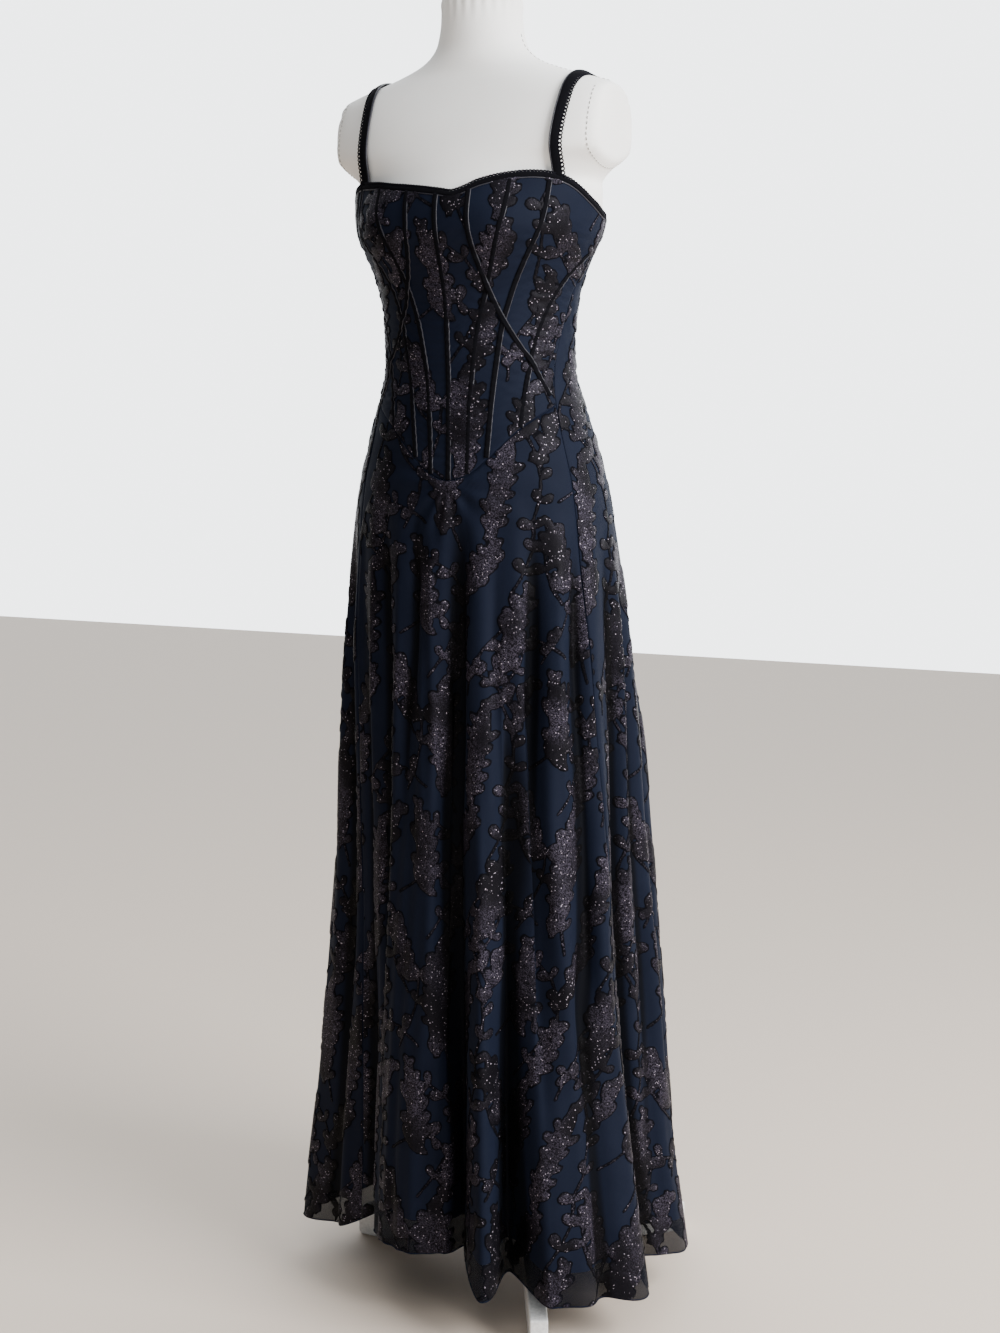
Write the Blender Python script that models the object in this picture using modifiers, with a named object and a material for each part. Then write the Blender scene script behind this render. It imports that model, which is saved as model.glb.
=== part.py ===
"""A long evening dress on a limbless dress form with a three-legged stand.

Units are metres. The front faces -Y, up is +Z, the wearer's left is +X and the floor is z = 0.
The cloth is a wall of even thickness on one smooth surface: its plain section is two half ellipses
with a shared width, taken from a table of heights, and its folds come from a table of the hem.
Every piece that lies on the cloth is made from the same surface, moved out."""

import math

import bmesh
import bpy
import numpy as np

for old in list(bpy.data.objects):
    bpy.data.objects.remove(old, do_unlink=True)

# Sizes, in metres and degrees
CLOTH = 0.0015
SEAM = 0.0004
BAND_HEIGHT = 0.0050
PICOT_HEIGHT = 0.0024
RIBBON_WIDTH = 0.0056
RIBBON_LIFT = 0.0016
RIBBON_THICK = 0.0011
STRAP_WIDTH = 0.0100
STRAP_THICK = 0.0016
LINING_OUT = -0.0045
LINING_RISE = 0.036
LINING_TOP = 0.930
FOLD_TOP = 0.950
JOIN_HEIGHT = 1.024
FORM_CLEAR = 0.0035
FORM_BOTTOM = 0.785
ARM_PLATE = 0.163
ARM_PLATE_EDGE = 0.005
POLE_RADIUS = 0.016
HUB_RADIUS = 0.027
LEG_WIDTH = 0.020
LEG_LENGTH = 0.230
LEG_ANGLES = (30.0, 150.0, 270.0)
# The pole stands a little left of and behind the middle of the form
STAND_X = 0.0430
STAND_Y = 0.0342
SHIFT_X = -0.0116
SHIFT_Y = -0.0330

# The cloth's inside: height, half width, depth of the front, depth of the back
SECTIONS = np.array([
    (1.300, .153, .100, .087), (1.260, .1485, .1125, .092), (1.235, .146, .121, .095),
    (1.210, .141, .122, .093), (1.185, .1295, .1145, .086), (1.150, .1165, .1040, .076),
    (1.118, .112, .100, .070), (1.085, .110, .100, .069), (1.050, .113, .100, .078),
    (1.020, .122, .103, .094), (0.980, .134, .107, .112), (0.940, .144, .112, .126),
    (0.900, .151, .116, .138), (0.850, .157, .118, .154), (0.800, .162, .121, .172),
    (0.700, .170, .125, .204), (0.600, .177, .130, .228), (0.500, .184, .136, .242),
    (0.400, .192, .144, .246), (0.300, .201, .153, .250), (0.200, .212, .163, .252),
    (0.100, .225, .172, .253), (0.040, .233, .178, .254)])

# The form: height, half width, depth of the front, depth of the back
FORM = np.array([
    (0.785, .116, .080, .094), (0.789, .131, .092, .108), (0.800, .140, .099, .117),
    (0.830, .145, .102, .122), (0.870, .145, .104, .122), (0.910, .142, .105, .119),
    (0.950, .136, .104, .112), (0.990, .126, .101, .1000), (1.020, .1175, .0985, .0885),
    (1.050, .1092, .0964, .0744), (1.085, .1062, .0964, .0654), (1.118, .1082, .0964, .0664),
    (1.150, .1129, .1004, .0724), (1.185, .1258, .1108, .0824), (1.210, .1372, .1184, .0894),
    (1.235, .1424, .1174, .0914), (1.255, .1436, .1086, .0884), (1.269, .1440, .1030, .0878), (1.284, .160, .098, .088),
    (1.300, .188, .092, .089), (1.325, .200, .082, .086), (1.345, .198, .072, .080),
    (1.360, .186, .064, .073), (1.374, .150, .057, .065), (1.387, .106, .051, .058),
    (1.399, .074, .048, .054), (1.413, .056, .045, .050), (1.432, .048, .044, .047),
    (1.455, .0455, .0435, .0455), (1.468, .0450, .0430, .0450), (1.4725, .042, .040, .042),
    (1.4745, .035, .033, .035)])

# The hem: angle from the front (+ to the wearer's left), radius, height. A row for each fold's
# ridge and each valley
HEM = np.array([
    (-180, .262, .050), (-163, .226, .056), (-147, .258, .048), (-129, .220, .054),
    (-113, .246, .044), (-98, .204, .048), (-81, .229, .040), (-66, .170, .050),
    (-49, .118, .082), (-30, .142, .074), (-14, .163, .082), (-2, .170, .082),
    (12, .158, .082), (19, .126, .080), (28, .222, .056), (38, .171, .070), (46, .246, .055),
    (55, .255, .055), (60, .247, .056), (69, .266, .050), (86, .200, .056), (106, .243, .048),
    (123, .214, .056), (141, .260, .050), (160, .224, .056), (180, .262, .050)])
FOLD_STEPS = 3

# The top edge: angle from the bodice's centre line, height
TOP_EDGE = np.array([
    (-190, 1.222), (-150, 1.222), (-110, 1.227), (-91, 1.233), (-78, 1.248), (-66, 1.264),
    (-45, 1.265), (-30, 1.261), (-10, 1.256), (3, 1.252), (9, 1.250), (14, 1.2525),
    (24, 1.261), (46, 1.2695), (58, 1.2685), (66, 1.263), (78, 1.245), (91, 1.231),
    (110, 1.226), (150, 1.222), (190, 1.222)])
# The pointed waist seam, the same each side: angle from the centre line, height
V_SEAM = np.array([(0, .9420), (5, .9432), (11, .9480), (22, .9650), (41, .9980), (63.5, 1.0240)])

# The centre line and the seams: height, then the angle of each
SEAMS = np.array([
    # height, centre, front-side left, front-side right, side-back left, side-back right
    (1.290, 2.2, 100, -96, 140, -132), (1.250, 3.0, 99, -94, 137, -130),
    (1.200, 4.0, 95, -88, 134, -126), (1.130, 5.3, 84, -74, 129, -121),
    (1.080, 6.3, 76, -63.5, 126, -118), (1.024, 7.4, 70.9, -56.1, 123, -116),
    (0.940, 9.0, 72, -56.6, 121, -114), (0.000, 9.0, 73, -57, 120, -113)])

# Ribbons of one side, the other mirrors them: angle from the centre line, height
RIBBONS = {
    "inner": ((39, 1.262), (35, 1.235), (31, 1.205), (27, 1.160), (20.5, 1.112), (16.5, 1.075),
              (13.5, 1.030), (12.3, .998), (11, .9495)),
    "middle": ((57, 1.262), (52, 1.222), (45.6, 1.180), (39, 1.138), (34, 1.107), (29.3, 1.061),
               (26, 1.025), (24, .998), (21.8, .967)),
    "outer": ((86, 1.188), (79.6, 1.177), (72, 1.159), (62.7, 1.130), (54.5, 1.094),
              (48.5, 1.055), (43, 1.018), (41, .9995)),
    "crossing": ((18.5, 1.258), (17, 1.220), (19, 1.190), (24.5, 1.158), (33, 1.122),
                 (43.5, 1.090), (52, 1.068), (61.0, 1.034)),
}
RIBBON_STEPS = 26
# How far the crossing ribbon rises over the three that it crosses, and over what length
CROSS_RISE = 0.0015
CROSS_REACH = 0.011

# Straps: side, angle of the front end, half distance at the shoulder, angle of the back end
STRAPS = {"left": (1, 61.0, .129, 145.0), "right": (-1, -55.0, -.118, -145.0)}
STRAP_STEPS = 30

COLLECTION = bpy.data.collections.new("chiffon_maxi_dress_on_dress_form")
bpy.context.scene.collection.children.link(COLLECTION)

NAVY = (0.010, 0.014, 0.035, 1)
LINING_NAVY = (0.008, 0.011, 0.030, 1)
VELVET = (0.004, 0.004, 0.007, 1)
JERSEY = (0.80, 0.79, 0.76, 1)
WHITE = (0.82, 0.82, 0.81, 1)
ZIP_METAL = (0.03, 0.035, 0.06, 1)


def through(x, xs, ys):
    """A smooth curve through the rows of a table."""
    order = np.argsort(xs)
    xs, ys = np.asarray(xs, float)[order], np.asarray(ys, float)[order]
    x = np.clip(x, xs[0], xs[-1])
    slope = np.diff(ys) / np.diff(xs)
    tangent = np.concatenate([slope[:1], (slope[1:] + slope[:-1]) / 2, slope[-1:]])
    i = np.clip(np.searchsorted(xs, x) - 1, 0, len(xs) - 2)
    h = xs[i + 1] - xs[i]
    t = (x - xs[i]) / h
    return ((1 + 2 * t) * (1 - t) ** 2 * ys[i] + t * (1 - t) ** 2 * h * tangent[i]
            + t * t * (3 - 2 * t) * ys[i + 1] + t * t * (t - 1) * h * tangent[i + 1])


def eased(x, xs, ys):
    """Level at each row of the table, as a fold's ridge or valley is."""
    i = np.clip(np.searchsorted(xs, x, side="right") - 1, 0, len(xs) - 2)
    t = np.clip((x - xs[i]) / (xs[i + 1] - xs[i]), 0, 1)
    return ys[i] + (ys[i + 1] - ys[i]) * (1 - np.cos(np.pi * t)) / 2


def wrapped(deg):
    return (np.asarray(deg, float) + 180) % 360 - 180


def section_radius(deg, z, table):
    a, front, back = (through(z, table[:, 0], table[:, k]) for k in (1, 2, 3))
    s, c = np.sin(np.radians(deg)), np.cos(np.radians(deg))
    r = 1 / np.sqrt((s / a) ** 2 + (c / np.where(c > 0, front, back)) ** 2)
    bust = .008 * np.exp(-((np.abs(wrapped(deg)) - 36) / 17) ** 2 - ((z - 1.212) / .035) ** 2)
    return r + bust


def hem_height(deg):
    return eased(wrapped(deg), HEM[:, 0], HEM[:, 2])


def cloth_radius(deg, z):
    deg = wrapped(deg)
    low = hem_height(deg)
    fold = eased(deg, HEM[:, 0], HEM[:, 1]) - section_radius(deg, low, SECTIONS)
    return section_radius(deg, z, SECTIONS) + fold * np.clip((FOLD_TOP - z) / (FOLD_TOP - low), 0, 1.2) ** 1.3


def cloth_point(deg, z, out=0.0):
    """The point of the cloth at this angle and height, moved level and square to the cloth."""
    deg, z, out = np.broadcast_arrays(*(np.asarray(v, float) for v in (deg, z, out)))

    def at(d):
        r, q = cloth_radius(d, z), np.radians(d)
        return np.stack([r * np.sin(q), -r * np.cos(q), z], -1)

    along = at(deg + .15) - at(deg - .15)
    square = np.stack([along[..., 1], -along[..., 0], 0 * z], -1)
    return at(deg) + square / np.linalg.norm(square, axis=-1)[..., None] * out[..., None]


def centre_line(z):
    return through(z, SEAMS[:, 0], SEAMS[:, 1])


def seam(column, z):
    """The angle of a seam at a height. Column 0 is the centre back, seen from either side."""
    if column in (180, -180):
        return np.full(np.shape(z), float(column))
    return through(z, SEAMS[:, 0], SEAMS[:, column])


def top_height(deg, z):
    return through(deg - centre_line(z), TOP_EDGE[:, 0], TOP_EDGE[:, 1])


def v_height(deg, z):
    return through(np.abs(deg - centre_line(z)), V_SEAM[:, 0], V_SEAM[:, 1])


def hem_only(deg, z):
    return hem_height(deg)


def edge_row(share, low_seam, high_seam, height, start):
    """Angle and height of the points where a panel's columns meet one of its ends."""
    z = np.full(len(share), start)
    for _ in range(12):
        deg = seam(low_seam, z) + (seam(high_seam, z) - seam(low_seam, z)) * share
        z = height(deg, z)
    return z


def panel_grid(share, low_seam, high_seam, heights):
    """Angles and heights of a panel, a row per entry of heights, with half a seam left each side."""
    deg, z = [], []
    for row in heights:
        first, last = seam(low_seam, row), seam(high_seam, row)
        angle = first + (last - first) * share
        gap = np.degrees(SEAM / 2 / cloth_radius(angle, row))
        keep = np.zeros(len(share))
        keep[0], keep[-1] = 1, -1
        deg.append(angle + gap * keep)
        z.append(row)
    return np.array(deg), np.array(z)


def add(name, points, faces, color, rough=0.6, metal=0.0, smooth=True):
    mesh = bpy.data.meshes.new(name)
    mesh.from_pydata([tuple(float(c) for c in p) for p in points], [], faces)
    mesh.update()
    made = bmesh.new()
    made.from_mesh(mesh)
    bmesh.ops.recalc_face_normals(made, faces=made.faces)
    made.to_mesh(mesh)
    made.free()
    obj = bpy.data.objects.new(name, mesh)
    obj.location = (SHIFT_X, SHIFT_Y, 0)
    finish(obj, color, rough, metal, smooth)
    return obj


def finish(obj, color, rough=0.6, metal=0.0, smooth=True):
    if obj.name not in COLLECTION.objects:
        COLLECTION.objects.link(obj)
    for other in list(obj.users_collection):
        if other != COLLECTION:
            other.objects.unlink(obj)
    material = bpy.data.materials.new(obj.name)
    material.use_nodes = True
    shader = material.node_tree.nodes["Principled BSDF"]
    shader.inputs["Base Color"].default_value = color
    shader.inputs["Roughness"].default_value = rough
    shader.inputs["Metallic"].default_value = metal
    material.diffuse_color = color
    obj.data.materials.clear()
    obj.data.materials.append(material)
    if smooth:
        obj.data.shade_smooth()


def wall(name, inner, outer, color, closed=False, **look):
    """A wall between two grids of points, rows by columns, with its edges closed."""
    rows, columns = inner.shape[:2]
    points = np.concatenate([inner.reshape(-1, 3), outer.reshape(-1, 3)])
    other = rows * columns
    faces = []
    last = columns if closed else columns - 1
    for i in range(rows - 1):
        for j in range(last):
            a, b = i * columns + j, i * columns + (j + 1) % columns
            c, d = b + columns, a + columns
            faces += [(a, d, c, b), (other + a, other + b, other + c, other + d)]
    for j in range(last):
        a, b = j, (j + 1) % columns
        faces.append((a, b, other + b, other + a))
        a, b = a + other - columns, b + other - columns
        faces.append((b, a, other + a, other + b))
    if not closed:
        for i in range(rows - 1):
            a, d = i * columns, (i + 1) * columns
            faces.append((d, a, other + a, other + d))
            a, d = a + columns - 1, d + columns - 1
            faces.append((a, d, other + d, other + a))
    return add(name, points, faces, color, **look)


def band(name, path, across, out, half, low, high, color, edges=None, **look):
    """A flat strip along a path, between two distances out from it. Its two edges may be given."""
    first, second = edges or (path - across * half, path + across * half)
    points = np.stack([first + out * low, second + out * low, second + out * high, first + out * high], 1)
    count = len(first)
    faces = [(0, 1, 2, 3), tuple(4 * (count - 1) + k for k in (3, 2, 1, 0))]
    for i in range(count - 1):
        for k in range(4):
            a, b = 4 * i + k, 4 * i + (k + 1) % 4
            faces.append((a, a + 4, b + 4, b))
    return add(name, points.reshape(-1, 3), faces, color, **look)


def shares(first, last):
    """Where a panel's columns stand, from 0 to 1, so that its folds get enough of them."""
    inside = [d for d in HEM[:, 0] if first + 2 < d < last - 2]
    stops = [first] + inside + [last]
    columns = np.concatenate([np.linspace(a, b, FOLD_STEPS, endpoint=False)
                              for a, b in zip(stops, stops[1:])] + [np.array([last])])
    return (columns - first) / (last - first), columns


# Rows: shares of the way from the hem to the join, and from the join to the top edge
SKIRT_ROWS = np.array([0, .07, .16, .26, .36, .47, .58, .69, .80, .90, .95, 1])
BODICE_ROWS = np.linspace(0, 1, 12)

front_share, front_columns = shares(-57, 73)
left_share, left_columns = shares(73, 120)
right_share, right_columns = shares(-113, -57)
back_left_share, back_left_columns = shares(120, 180)
back_right_share, back_right_columns = shares(-180, -113)


def long_panel(name, share, low_seam, high_seam):
    """A panel from the top edge to the hem in one piece."""
    top = edge_row(share, low_seam, high_seam, top_height, 1.24) - BAND_HEIGHT - SEAM
    low = edge_row(share, low_seam, high_seam, hem_only, 0.05)
    rows = [low + (JOIN_HEIGHT - low) * f for f in SKIRT_ROWS]
    rows += [JOIN_HEIGHT + (top - JOIN_HEIGHT) * f for f in BODICE_ROWS[1:]]
    deg, z = panel_grid(share, low_seam, high_seam, rows)
    return wall(name, cloth_point(deg, z), cloth_point(deg, z, CLOTH), NAVY)


long_panel("side_panel_left", left_share, 2, 4)
long_panel("side_panel_right", right_share, 5, 3)
long_panel("back_panel_left", back_left_share, 4, 180)
long_panel("back_panel_right", back_right_share, -180, 5)

# Bodice front, from the pointed seam to the binding
top = edge_row(front_share, 3, 2, top_height, 1.25) - BAND_HEIGHT - SEAM
point_low = edge_row(front_share, 3, 2, v_height, 1.0)
rows = [point_low + SEAM / 2 + (top - point_low - SEAM / 2) * f for f in BODICE_ROWS]
deg, z = panel_grid(front_share, 3, 2, rows)
BODICE_FACE = cloth_point(deg, z, CLOTH)
BODICE_LOW, BODICE_HIGH = rows[0], rows[-1]
wall("bodice_front", cloth_point(deg, z), BODICE_FACE, NAVY)


def on_bodice(deg, z):
    """The point of the bodice's own outer face, flat facets and all, at this angle and height."""
    u = (deg - seam(3, z)) / (seam(2, z) - seam(3, z))
    low, high = (np.interp(u, front_share, edge) for edge in (BODICE_LOW, BODICE_HIGH))
    column = np.clip(np.interp(u, front_share, np.arange(len(front_share))), 0, len(front_share) - 1.001)
    row = np.clip((z - low) / (high - low), 0, .9999) * (len(BODICE_ROWS) - 1)
    i, j = row.astype(int), column.astype(int)
    s, t = (row - i)[:, None], (column - j)[:, None]
    face = BODICE_FACE
    return ((face[i, j] * (1 - t) + face[i, j + 1] * t) * (1 - s)
            + (face[i + 1, j] * (1 - t) + face[i + 1, j + 1] * t) * s)


# Skirt front, from the hem to the pointed seam
low = edge_row(front_share, 3, 2, hem_only, 0.05)
rows = [low + (point_low - SEAM / 2 - low) * f for f in SKIRT_ROWS]
deg, z = panel_grid(front_share, 3, 2, rows)
wall("skirt_front", cloth_point(deg, z), cloth_point(deg, z, CLOTH), NAVY)

# Lining, a tube hung inside the skirt, shorter than it
columns = np.concatenate([back_right_columns[:-1], right_columns[:-1], front_columns[:-1],
                          left_columns[:-1], back_left_columns[:-1]])
low = hem_height(columns) + LINING_RISE
rows = np.array([low + (LINING_TOP - low) * f for f in (0, .12, .30, .52, .76, .95, 1)])
deg = np.broadcast_to(columns, rows.shape)
# Its top is sewn to the inside of the skirt, and the rest hangs a little inside it
out = np.array([LINING_OUT] * 6 + [-CLOTH - .0008])[:, None]
wall("skirt_lining", cloth_point(deg, rows, out), cloth_point(deg, rows, out + CLOTH),
     LINING_NAVY, closed=True)


def around_top(name, bottom, height, inner, outer, color):
    """One strip all round the top edge, open at the centre back."""
    parts = []
    for share, low_seam, high_seam in ((back_right_share, -180, 5), (right_share, 5, 3),
                                       (front_share, 3, 2), (left_share, 2, 4),
                                       (back_left_share, 4, 180)):
        edge = edge_row(share, low_seam, high_seam, top_height, 1.24)
        first, last = seam(low_seam, edge), seam(high_seam, edge)
        parts.append(np.stack([first + (last - first) * share, edge])[:, :-1])
    parts.append(np.array([[180.0], [edge[-1]]]))
    deg, edge = np.concatenate(parts, axis=1)
    deg[0] += .12
    deg[-1] -= .12
    deg = np.stack([deg, deg])
    z = np.stack([edge + bottom, edge + bottom + height])
    return wall(name, cloth_point(deg, z, inner), cloth_point(deg, z, outer), color)


around_top("neckline_binding", -BAND_HEIGHT, BAND_HEIGHT, -.0004, .0022, VELVET)
around_top("picot_edge", .0003, PICOT_HEIGHT, .0005, .0015, VELVET)


def ribbon_path(table, side):
    """Evenly spaced points of a ribbon's middle, their way across it and their way out."""
    table = np.array(table, float)
    count = np.arange(len(table))
    fine = np.linspace(0, len(table) - 1, 400)
    rel, z = through(fine, count, table[:, 0]), through(fine, count, table[:, 1])
    deg = centre_line(z) + side * rel
    # The band's and the pointed seam's edges stop the ribbon
    keep = (z < top_height(deg, z) - BAND_HEIGHT - .0012) & (z > v_height(deg, z) + .0016)
    deg, z = deg[keep], z[keep]
    points = cloth_point(deg, z)
    length = np.concatenate([[0], np.cumsum(np.linalg.norm(np.diff(points, axis=0), axis=1))])
    even = np.linspace(0, length[-1], RIBBON_STEPS + 1)
    deg, z = np.interp(even, length, deg), np.interp(even, length, z)
    middle = on_bodice(deg, z)
    out = cloth_point(deg, z, 1.0) - cloth_point(deg, z)
    rise = (cloth_point(deg, z + .002) - cloth_point(deg, z - .002)) / .004
    out = out - rise * (out * rise).sum(-1)[:, None] / (rise * rise).sum(-1)[:, None]
    out /= np.linalg.norm(out, axis=-1)[:, None]
    tangent = np.gradient(middle, axis=0)
    across = np.cross(out, tangent)
    across /= np.linalg.norm(across, axis=-1)[:, None]
    return middle, across, out, deg, z


def ribbon(name, table, side=1, over=()):
    middle, across, out, deg, z = ribbon_path(table, side)
    raised = np.zeros(len(middle))
    for other in over:
        line = ribbon_path(other, side)[0]
        line = np.concatenate([line[:-1] + (line[1:] - line[:-1]) * f for f in (0, .2, .4, .6, .8)])
        fine = np.concatenate([middle[:-1] + (middle[1:] - middle[:-1]) * f for f in (0, .25, .5, .75)])
        crossing = fine[np.linalg.norm(fine[:, None] - line[None], axis=-1).min(1).argmin()]
        far = np.linalg.norm(middle - crossing, axis=-1)
        raised = np.maximum(raised, CROSS_RISE * np.clip(2 - far / CROSS_REACH, 0, 1))
    edges = []
    for half in (-RIBBON_WIDTH / 2, RIBBON_WIDTH / 2):
        q = np.radians(deg)
        turn = across[:, 0] * np.cos(q) + across[:, 1] * np.sin(q)
        edge = on_bodice(deg + np.degrees(half * turn / cloth_radius(deg, z)), z + half * across[:, 2])
        edges.append(edge + out * raised[:, None])
    return band(name, middle, across, out, 0, RIBBON_LIFT, RIBBON_LIFT + RIBBON_THICK, VELVET, edges)


ribbon("ribbon_centre", ((0.2, 1.262), (0, 1.2), (0, 1.1), (0, 1.0), (0, .93)))
for side, word in ((1, "left"), (-1, "right")):
    for key in ("inner", "middle", "outer"):
        ribbon(f"ribbon_{key}_{word}", RIBBONS[key], side)
    ribbon(f"ribbon_crossing_{word}", RIBBONS["crossing"], side,
           over=(RIBBONS["inner"], RIBBONS["middle"], RIBBONS["outer"]))


# Dress form
def form_point(deg, z, out=0.0):
    r, q = section_radius(deg, z, FORM), np.radians(deg)
    x = (r + out) * np.sin(q)
    # The flat plates that close the armholes, with a rounded edge
    past = np.maximum(np.abs(x) - (ARM_PLATE - ARM_PLATE_EDGE), 0)
    x = np.sign(x) * np.where(past > 0, ARM_PLATE - ARM_PLATE_EDGE * np.exp(-past / ARM_PLATE_EDGE), np.abs(x))
    return np.stack([x, -(r + out) * np.cos(q), z + 0 * r], -1)


FORM_ROWS = np.array([.785, .789, .800, .830, .870, .910, .950, .990, 1.020, 1.050, 1.085, 1.118,
                      1.150, 1.185, 1.210, 1.235, 1.255, 1.269, 1.284, 1.300, 1.325, 1.345, 1.360,
                      1.374, 1.387, 1.399, 1.413, 1.432, 1.455, 1.468, 1.4725, 1.4745])
FORM_COLUMNS = 26
angles = np.arange(FORM_COLUMNS) * 360 / FORM_COLUMNS
grid = form_point(angles[None], FORM_ROWS[:, None])
faces = [tuple(range(FORM_COLUMNS)),
         tuple((len(FORM_ROWS) - 1) * FORM_COLUMNS + k for k in reversed(range(FORM_COLUMNS)))]
for i in range(len(FORM_ROWS) - 1):
    for j in range(FORM_COLUMNS):
        a, b = i * FORM_COLUMNS + j, i * FORM_COLUMNS + (j + 1) % FORM_COLUMNS
        faces.append((a, a + FORM_COLUMNS, b + FORM_COLUMNS, b))
add("form_body", grid.reshape(-1, 3), faces, JERSEY, rough=.85)


def strap_path(side, front, top_x, back):
    """Along the cloth's top edge, up the chest, over the shoulder and down the back."""
    z_front = top_height(front + 2.7, 1.26) + PICOT_HEIGHT + .0030
    z_back = top_height(back + 3.4, 1.22) + PICOT_HEIGHT + .0012
    first = cloth_point(front + 2.7, z_front, .0010)
    last = cloth_point(back + 3.4, z_back, .0010)
    heights = np.linspace(1.35, 1.40, 400)
    top_z = heights[np.argmin(np.abs(through(heights, FORM[:, 0], FORM[:, 1]) - abs(top_x)))]
    points = []
    for start, sign in ((first, -1), (last, 1)):
        t = np.linspace(0, 1, 120)
        z = start[2] + (top_z - start[2]) * np.sin(t * np.pi / 2)
        x = start[0] + (top_x - start[0]) * t
        a = np.maximum(through(z, FORM[:, 0], FORM[:, 1]), abs(top_x) + 1e-4)
        depth = through(z, FORM[:, 0], FORM[:, 2 if sign < 0 else 3])
        y = sign * depth * np.sqrt(np.clip(1 - (x / a) ** 2, 0, 1))
        # The strap leaves the form a little before its end, to meet the edge of the cloth
        y = y + (start[1] - y[0]) * (1 - t) ** 3
        points.append(np.stack([x, y, z], -1))
    line = np.concatenate([points[0], points[1][::-1][1:]])
    for _ in range(30):
        line[1:-1] = (line[:-2] + 2 * line[1:-1] + line[2:]) / 4
    length = np.concatenate([[0], np.cumsum(np.linalg.norm(np.diff(line, axis=0), axis=1))])
    even = np.linspace(0, length[-1], STRAP_STEPS + 1)
    line = np.stack([np.interp(even, length, line[:, k]) for k in range(3)], -1)
    tangent = np.gradient(line, axis=0)
    tangent /= np.linalg.norm(tangent, axis=-1)[:, None]
    # Out of the form: away from its middle at chest height, straightened to the strap's way
    out = line - np.array([side * .085, 0, 1.290])
    out -= tangent * (out * tangent).sum(-1)[:, None]
    out /= np.linalg.norm(out, axis=-1)[:, None]
    return line, np.cross(tangent, out), out


for word, (side, front, top_x, back) in STRAPS.items():
    line, across, out = strap_path(side, front, top_x, back)
    lift = .0014 * np.sin(np.linspace(0, np.pi, len(line))) ** .5
    line = line + out * lift[:, None]
    # across turns towards the neck on one side and away from it on the other
    outward = across * np.sign((across[len(line) // 2] * [side, 0, 0]).sum())
    band(f"strap_{word}", line, across, out, STRAP_WIDTH / 2, 0, STRAP_THICK, VELVET)
    edge = line + outward * (STRAP_WIDTH / 2 + .0003 + PICOT_HEIGHT / 2)
    band(f"strap_picot_{word}", edge, across, out, PICOT_HEIGHT / 2, .0003, .0013, VELVET)


# Stand
def turned(name, radius, low, high, color, bevel, metal=0.0):
    bpy.ops.mesh.primitive_cylinder_add(vertices=32, radius=radius, depth=high - low,
                                        location=(SHIFT_X + STAND_X, SHIFT_Y + STAND_Y, (low + high) / 2))
    obj = bpy.context.object
    obj.name = name
    finish(obj, color, .4, metal, smooth=False)
    rounded = obj.modifiers.new("Rounded edges", "BEVEL")
    rounded.width, rounded.segments, rounded.limit_method = bevel, 2, "ANGLE"
    return obj


turned("hub", HUB_RADIUS, .018, .078, WHITE, .002)
turned("pole", POLE_RADIUS, .0783, FORM_BOTTOM - .0003, WHITE, .001)

LEG_SIDE = ((HUB_RADIUS + .0006, .060), (LEG_LENGTH - .020, .040), (LEG_LENGTH, .034),
            (LEG_LENGTH, .003), (LEG_LENGTH - .003, 0), (LEG_LENGTH - .040, 0),
            (LEG_LENGTH - .046, .002), (HUB_RADIUS + .0006, .024))
STAND = np.array([STAND_X, STAND_Y, 0])
for number, angle in enumerate(LEG_ANGLES, 1):
    way = np.array([math.sin(math.radians(angle)), -math.cos(math.radians(angle)), 0])
    across = np.array([-way[1], way[0], 0])
    near = [STAND + way * r + (0, 0, z) - across * LEG_WIDTH / 2 for r, z in LEG_SIDE]
    far = [p + across * LEG_WIDTH for p in near]
    n = len(near)
    faces = [tuple(range(n)), tuple(range(2 * n - 1, n - 1, -1))]
    faces += [(k, (k + 1) % n, n + (k + 1) % n, n + k) for k in range(n)]
    leg = add(f"leg_{number}", np.array(near + far), faces, WHITE, rough=.4, smooth=False)
    rounded = leg.modifiers.new("Rounded edges", "BEVEL")
    rounded.width, rounded.segments, rounded.limit_method = .0012, 1, "ANGLE"
    rounded.angle_limit = math.radians(40)


# Slide of the centre-back zip, with its pull on a cross pin
def block(size, centre):
    bpy.ops.mesh.primitive_cube_add(size=1, location=centre)
    obj = bpy.context.object
    obj.scale = size
    bpy.ops.object.transform_apply(location=False, rotation=False, scale=True)
    return obj


def rod(radius, length, centre, vertices=20):
    bpy.ops.mesh.primitive_cylinder_add(vertices=vertices, radius=radius, depth=length,
                                        location=centre, rotation=(0, math.pi / 2, 0))
    return bpy.context.object


def combined(name, base, others, operation, color):
    for other in others:
        step = base.modifiers.new(other.name, "BOOLEAN")
        step.operation, step.object, step.solver = operation, other, "EXACT"
        other.hide_render = True
        other.hide_set(True)
    base.name = name
    finish(base, color, .35, 1.0, smooth=False)
    return base


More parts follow.
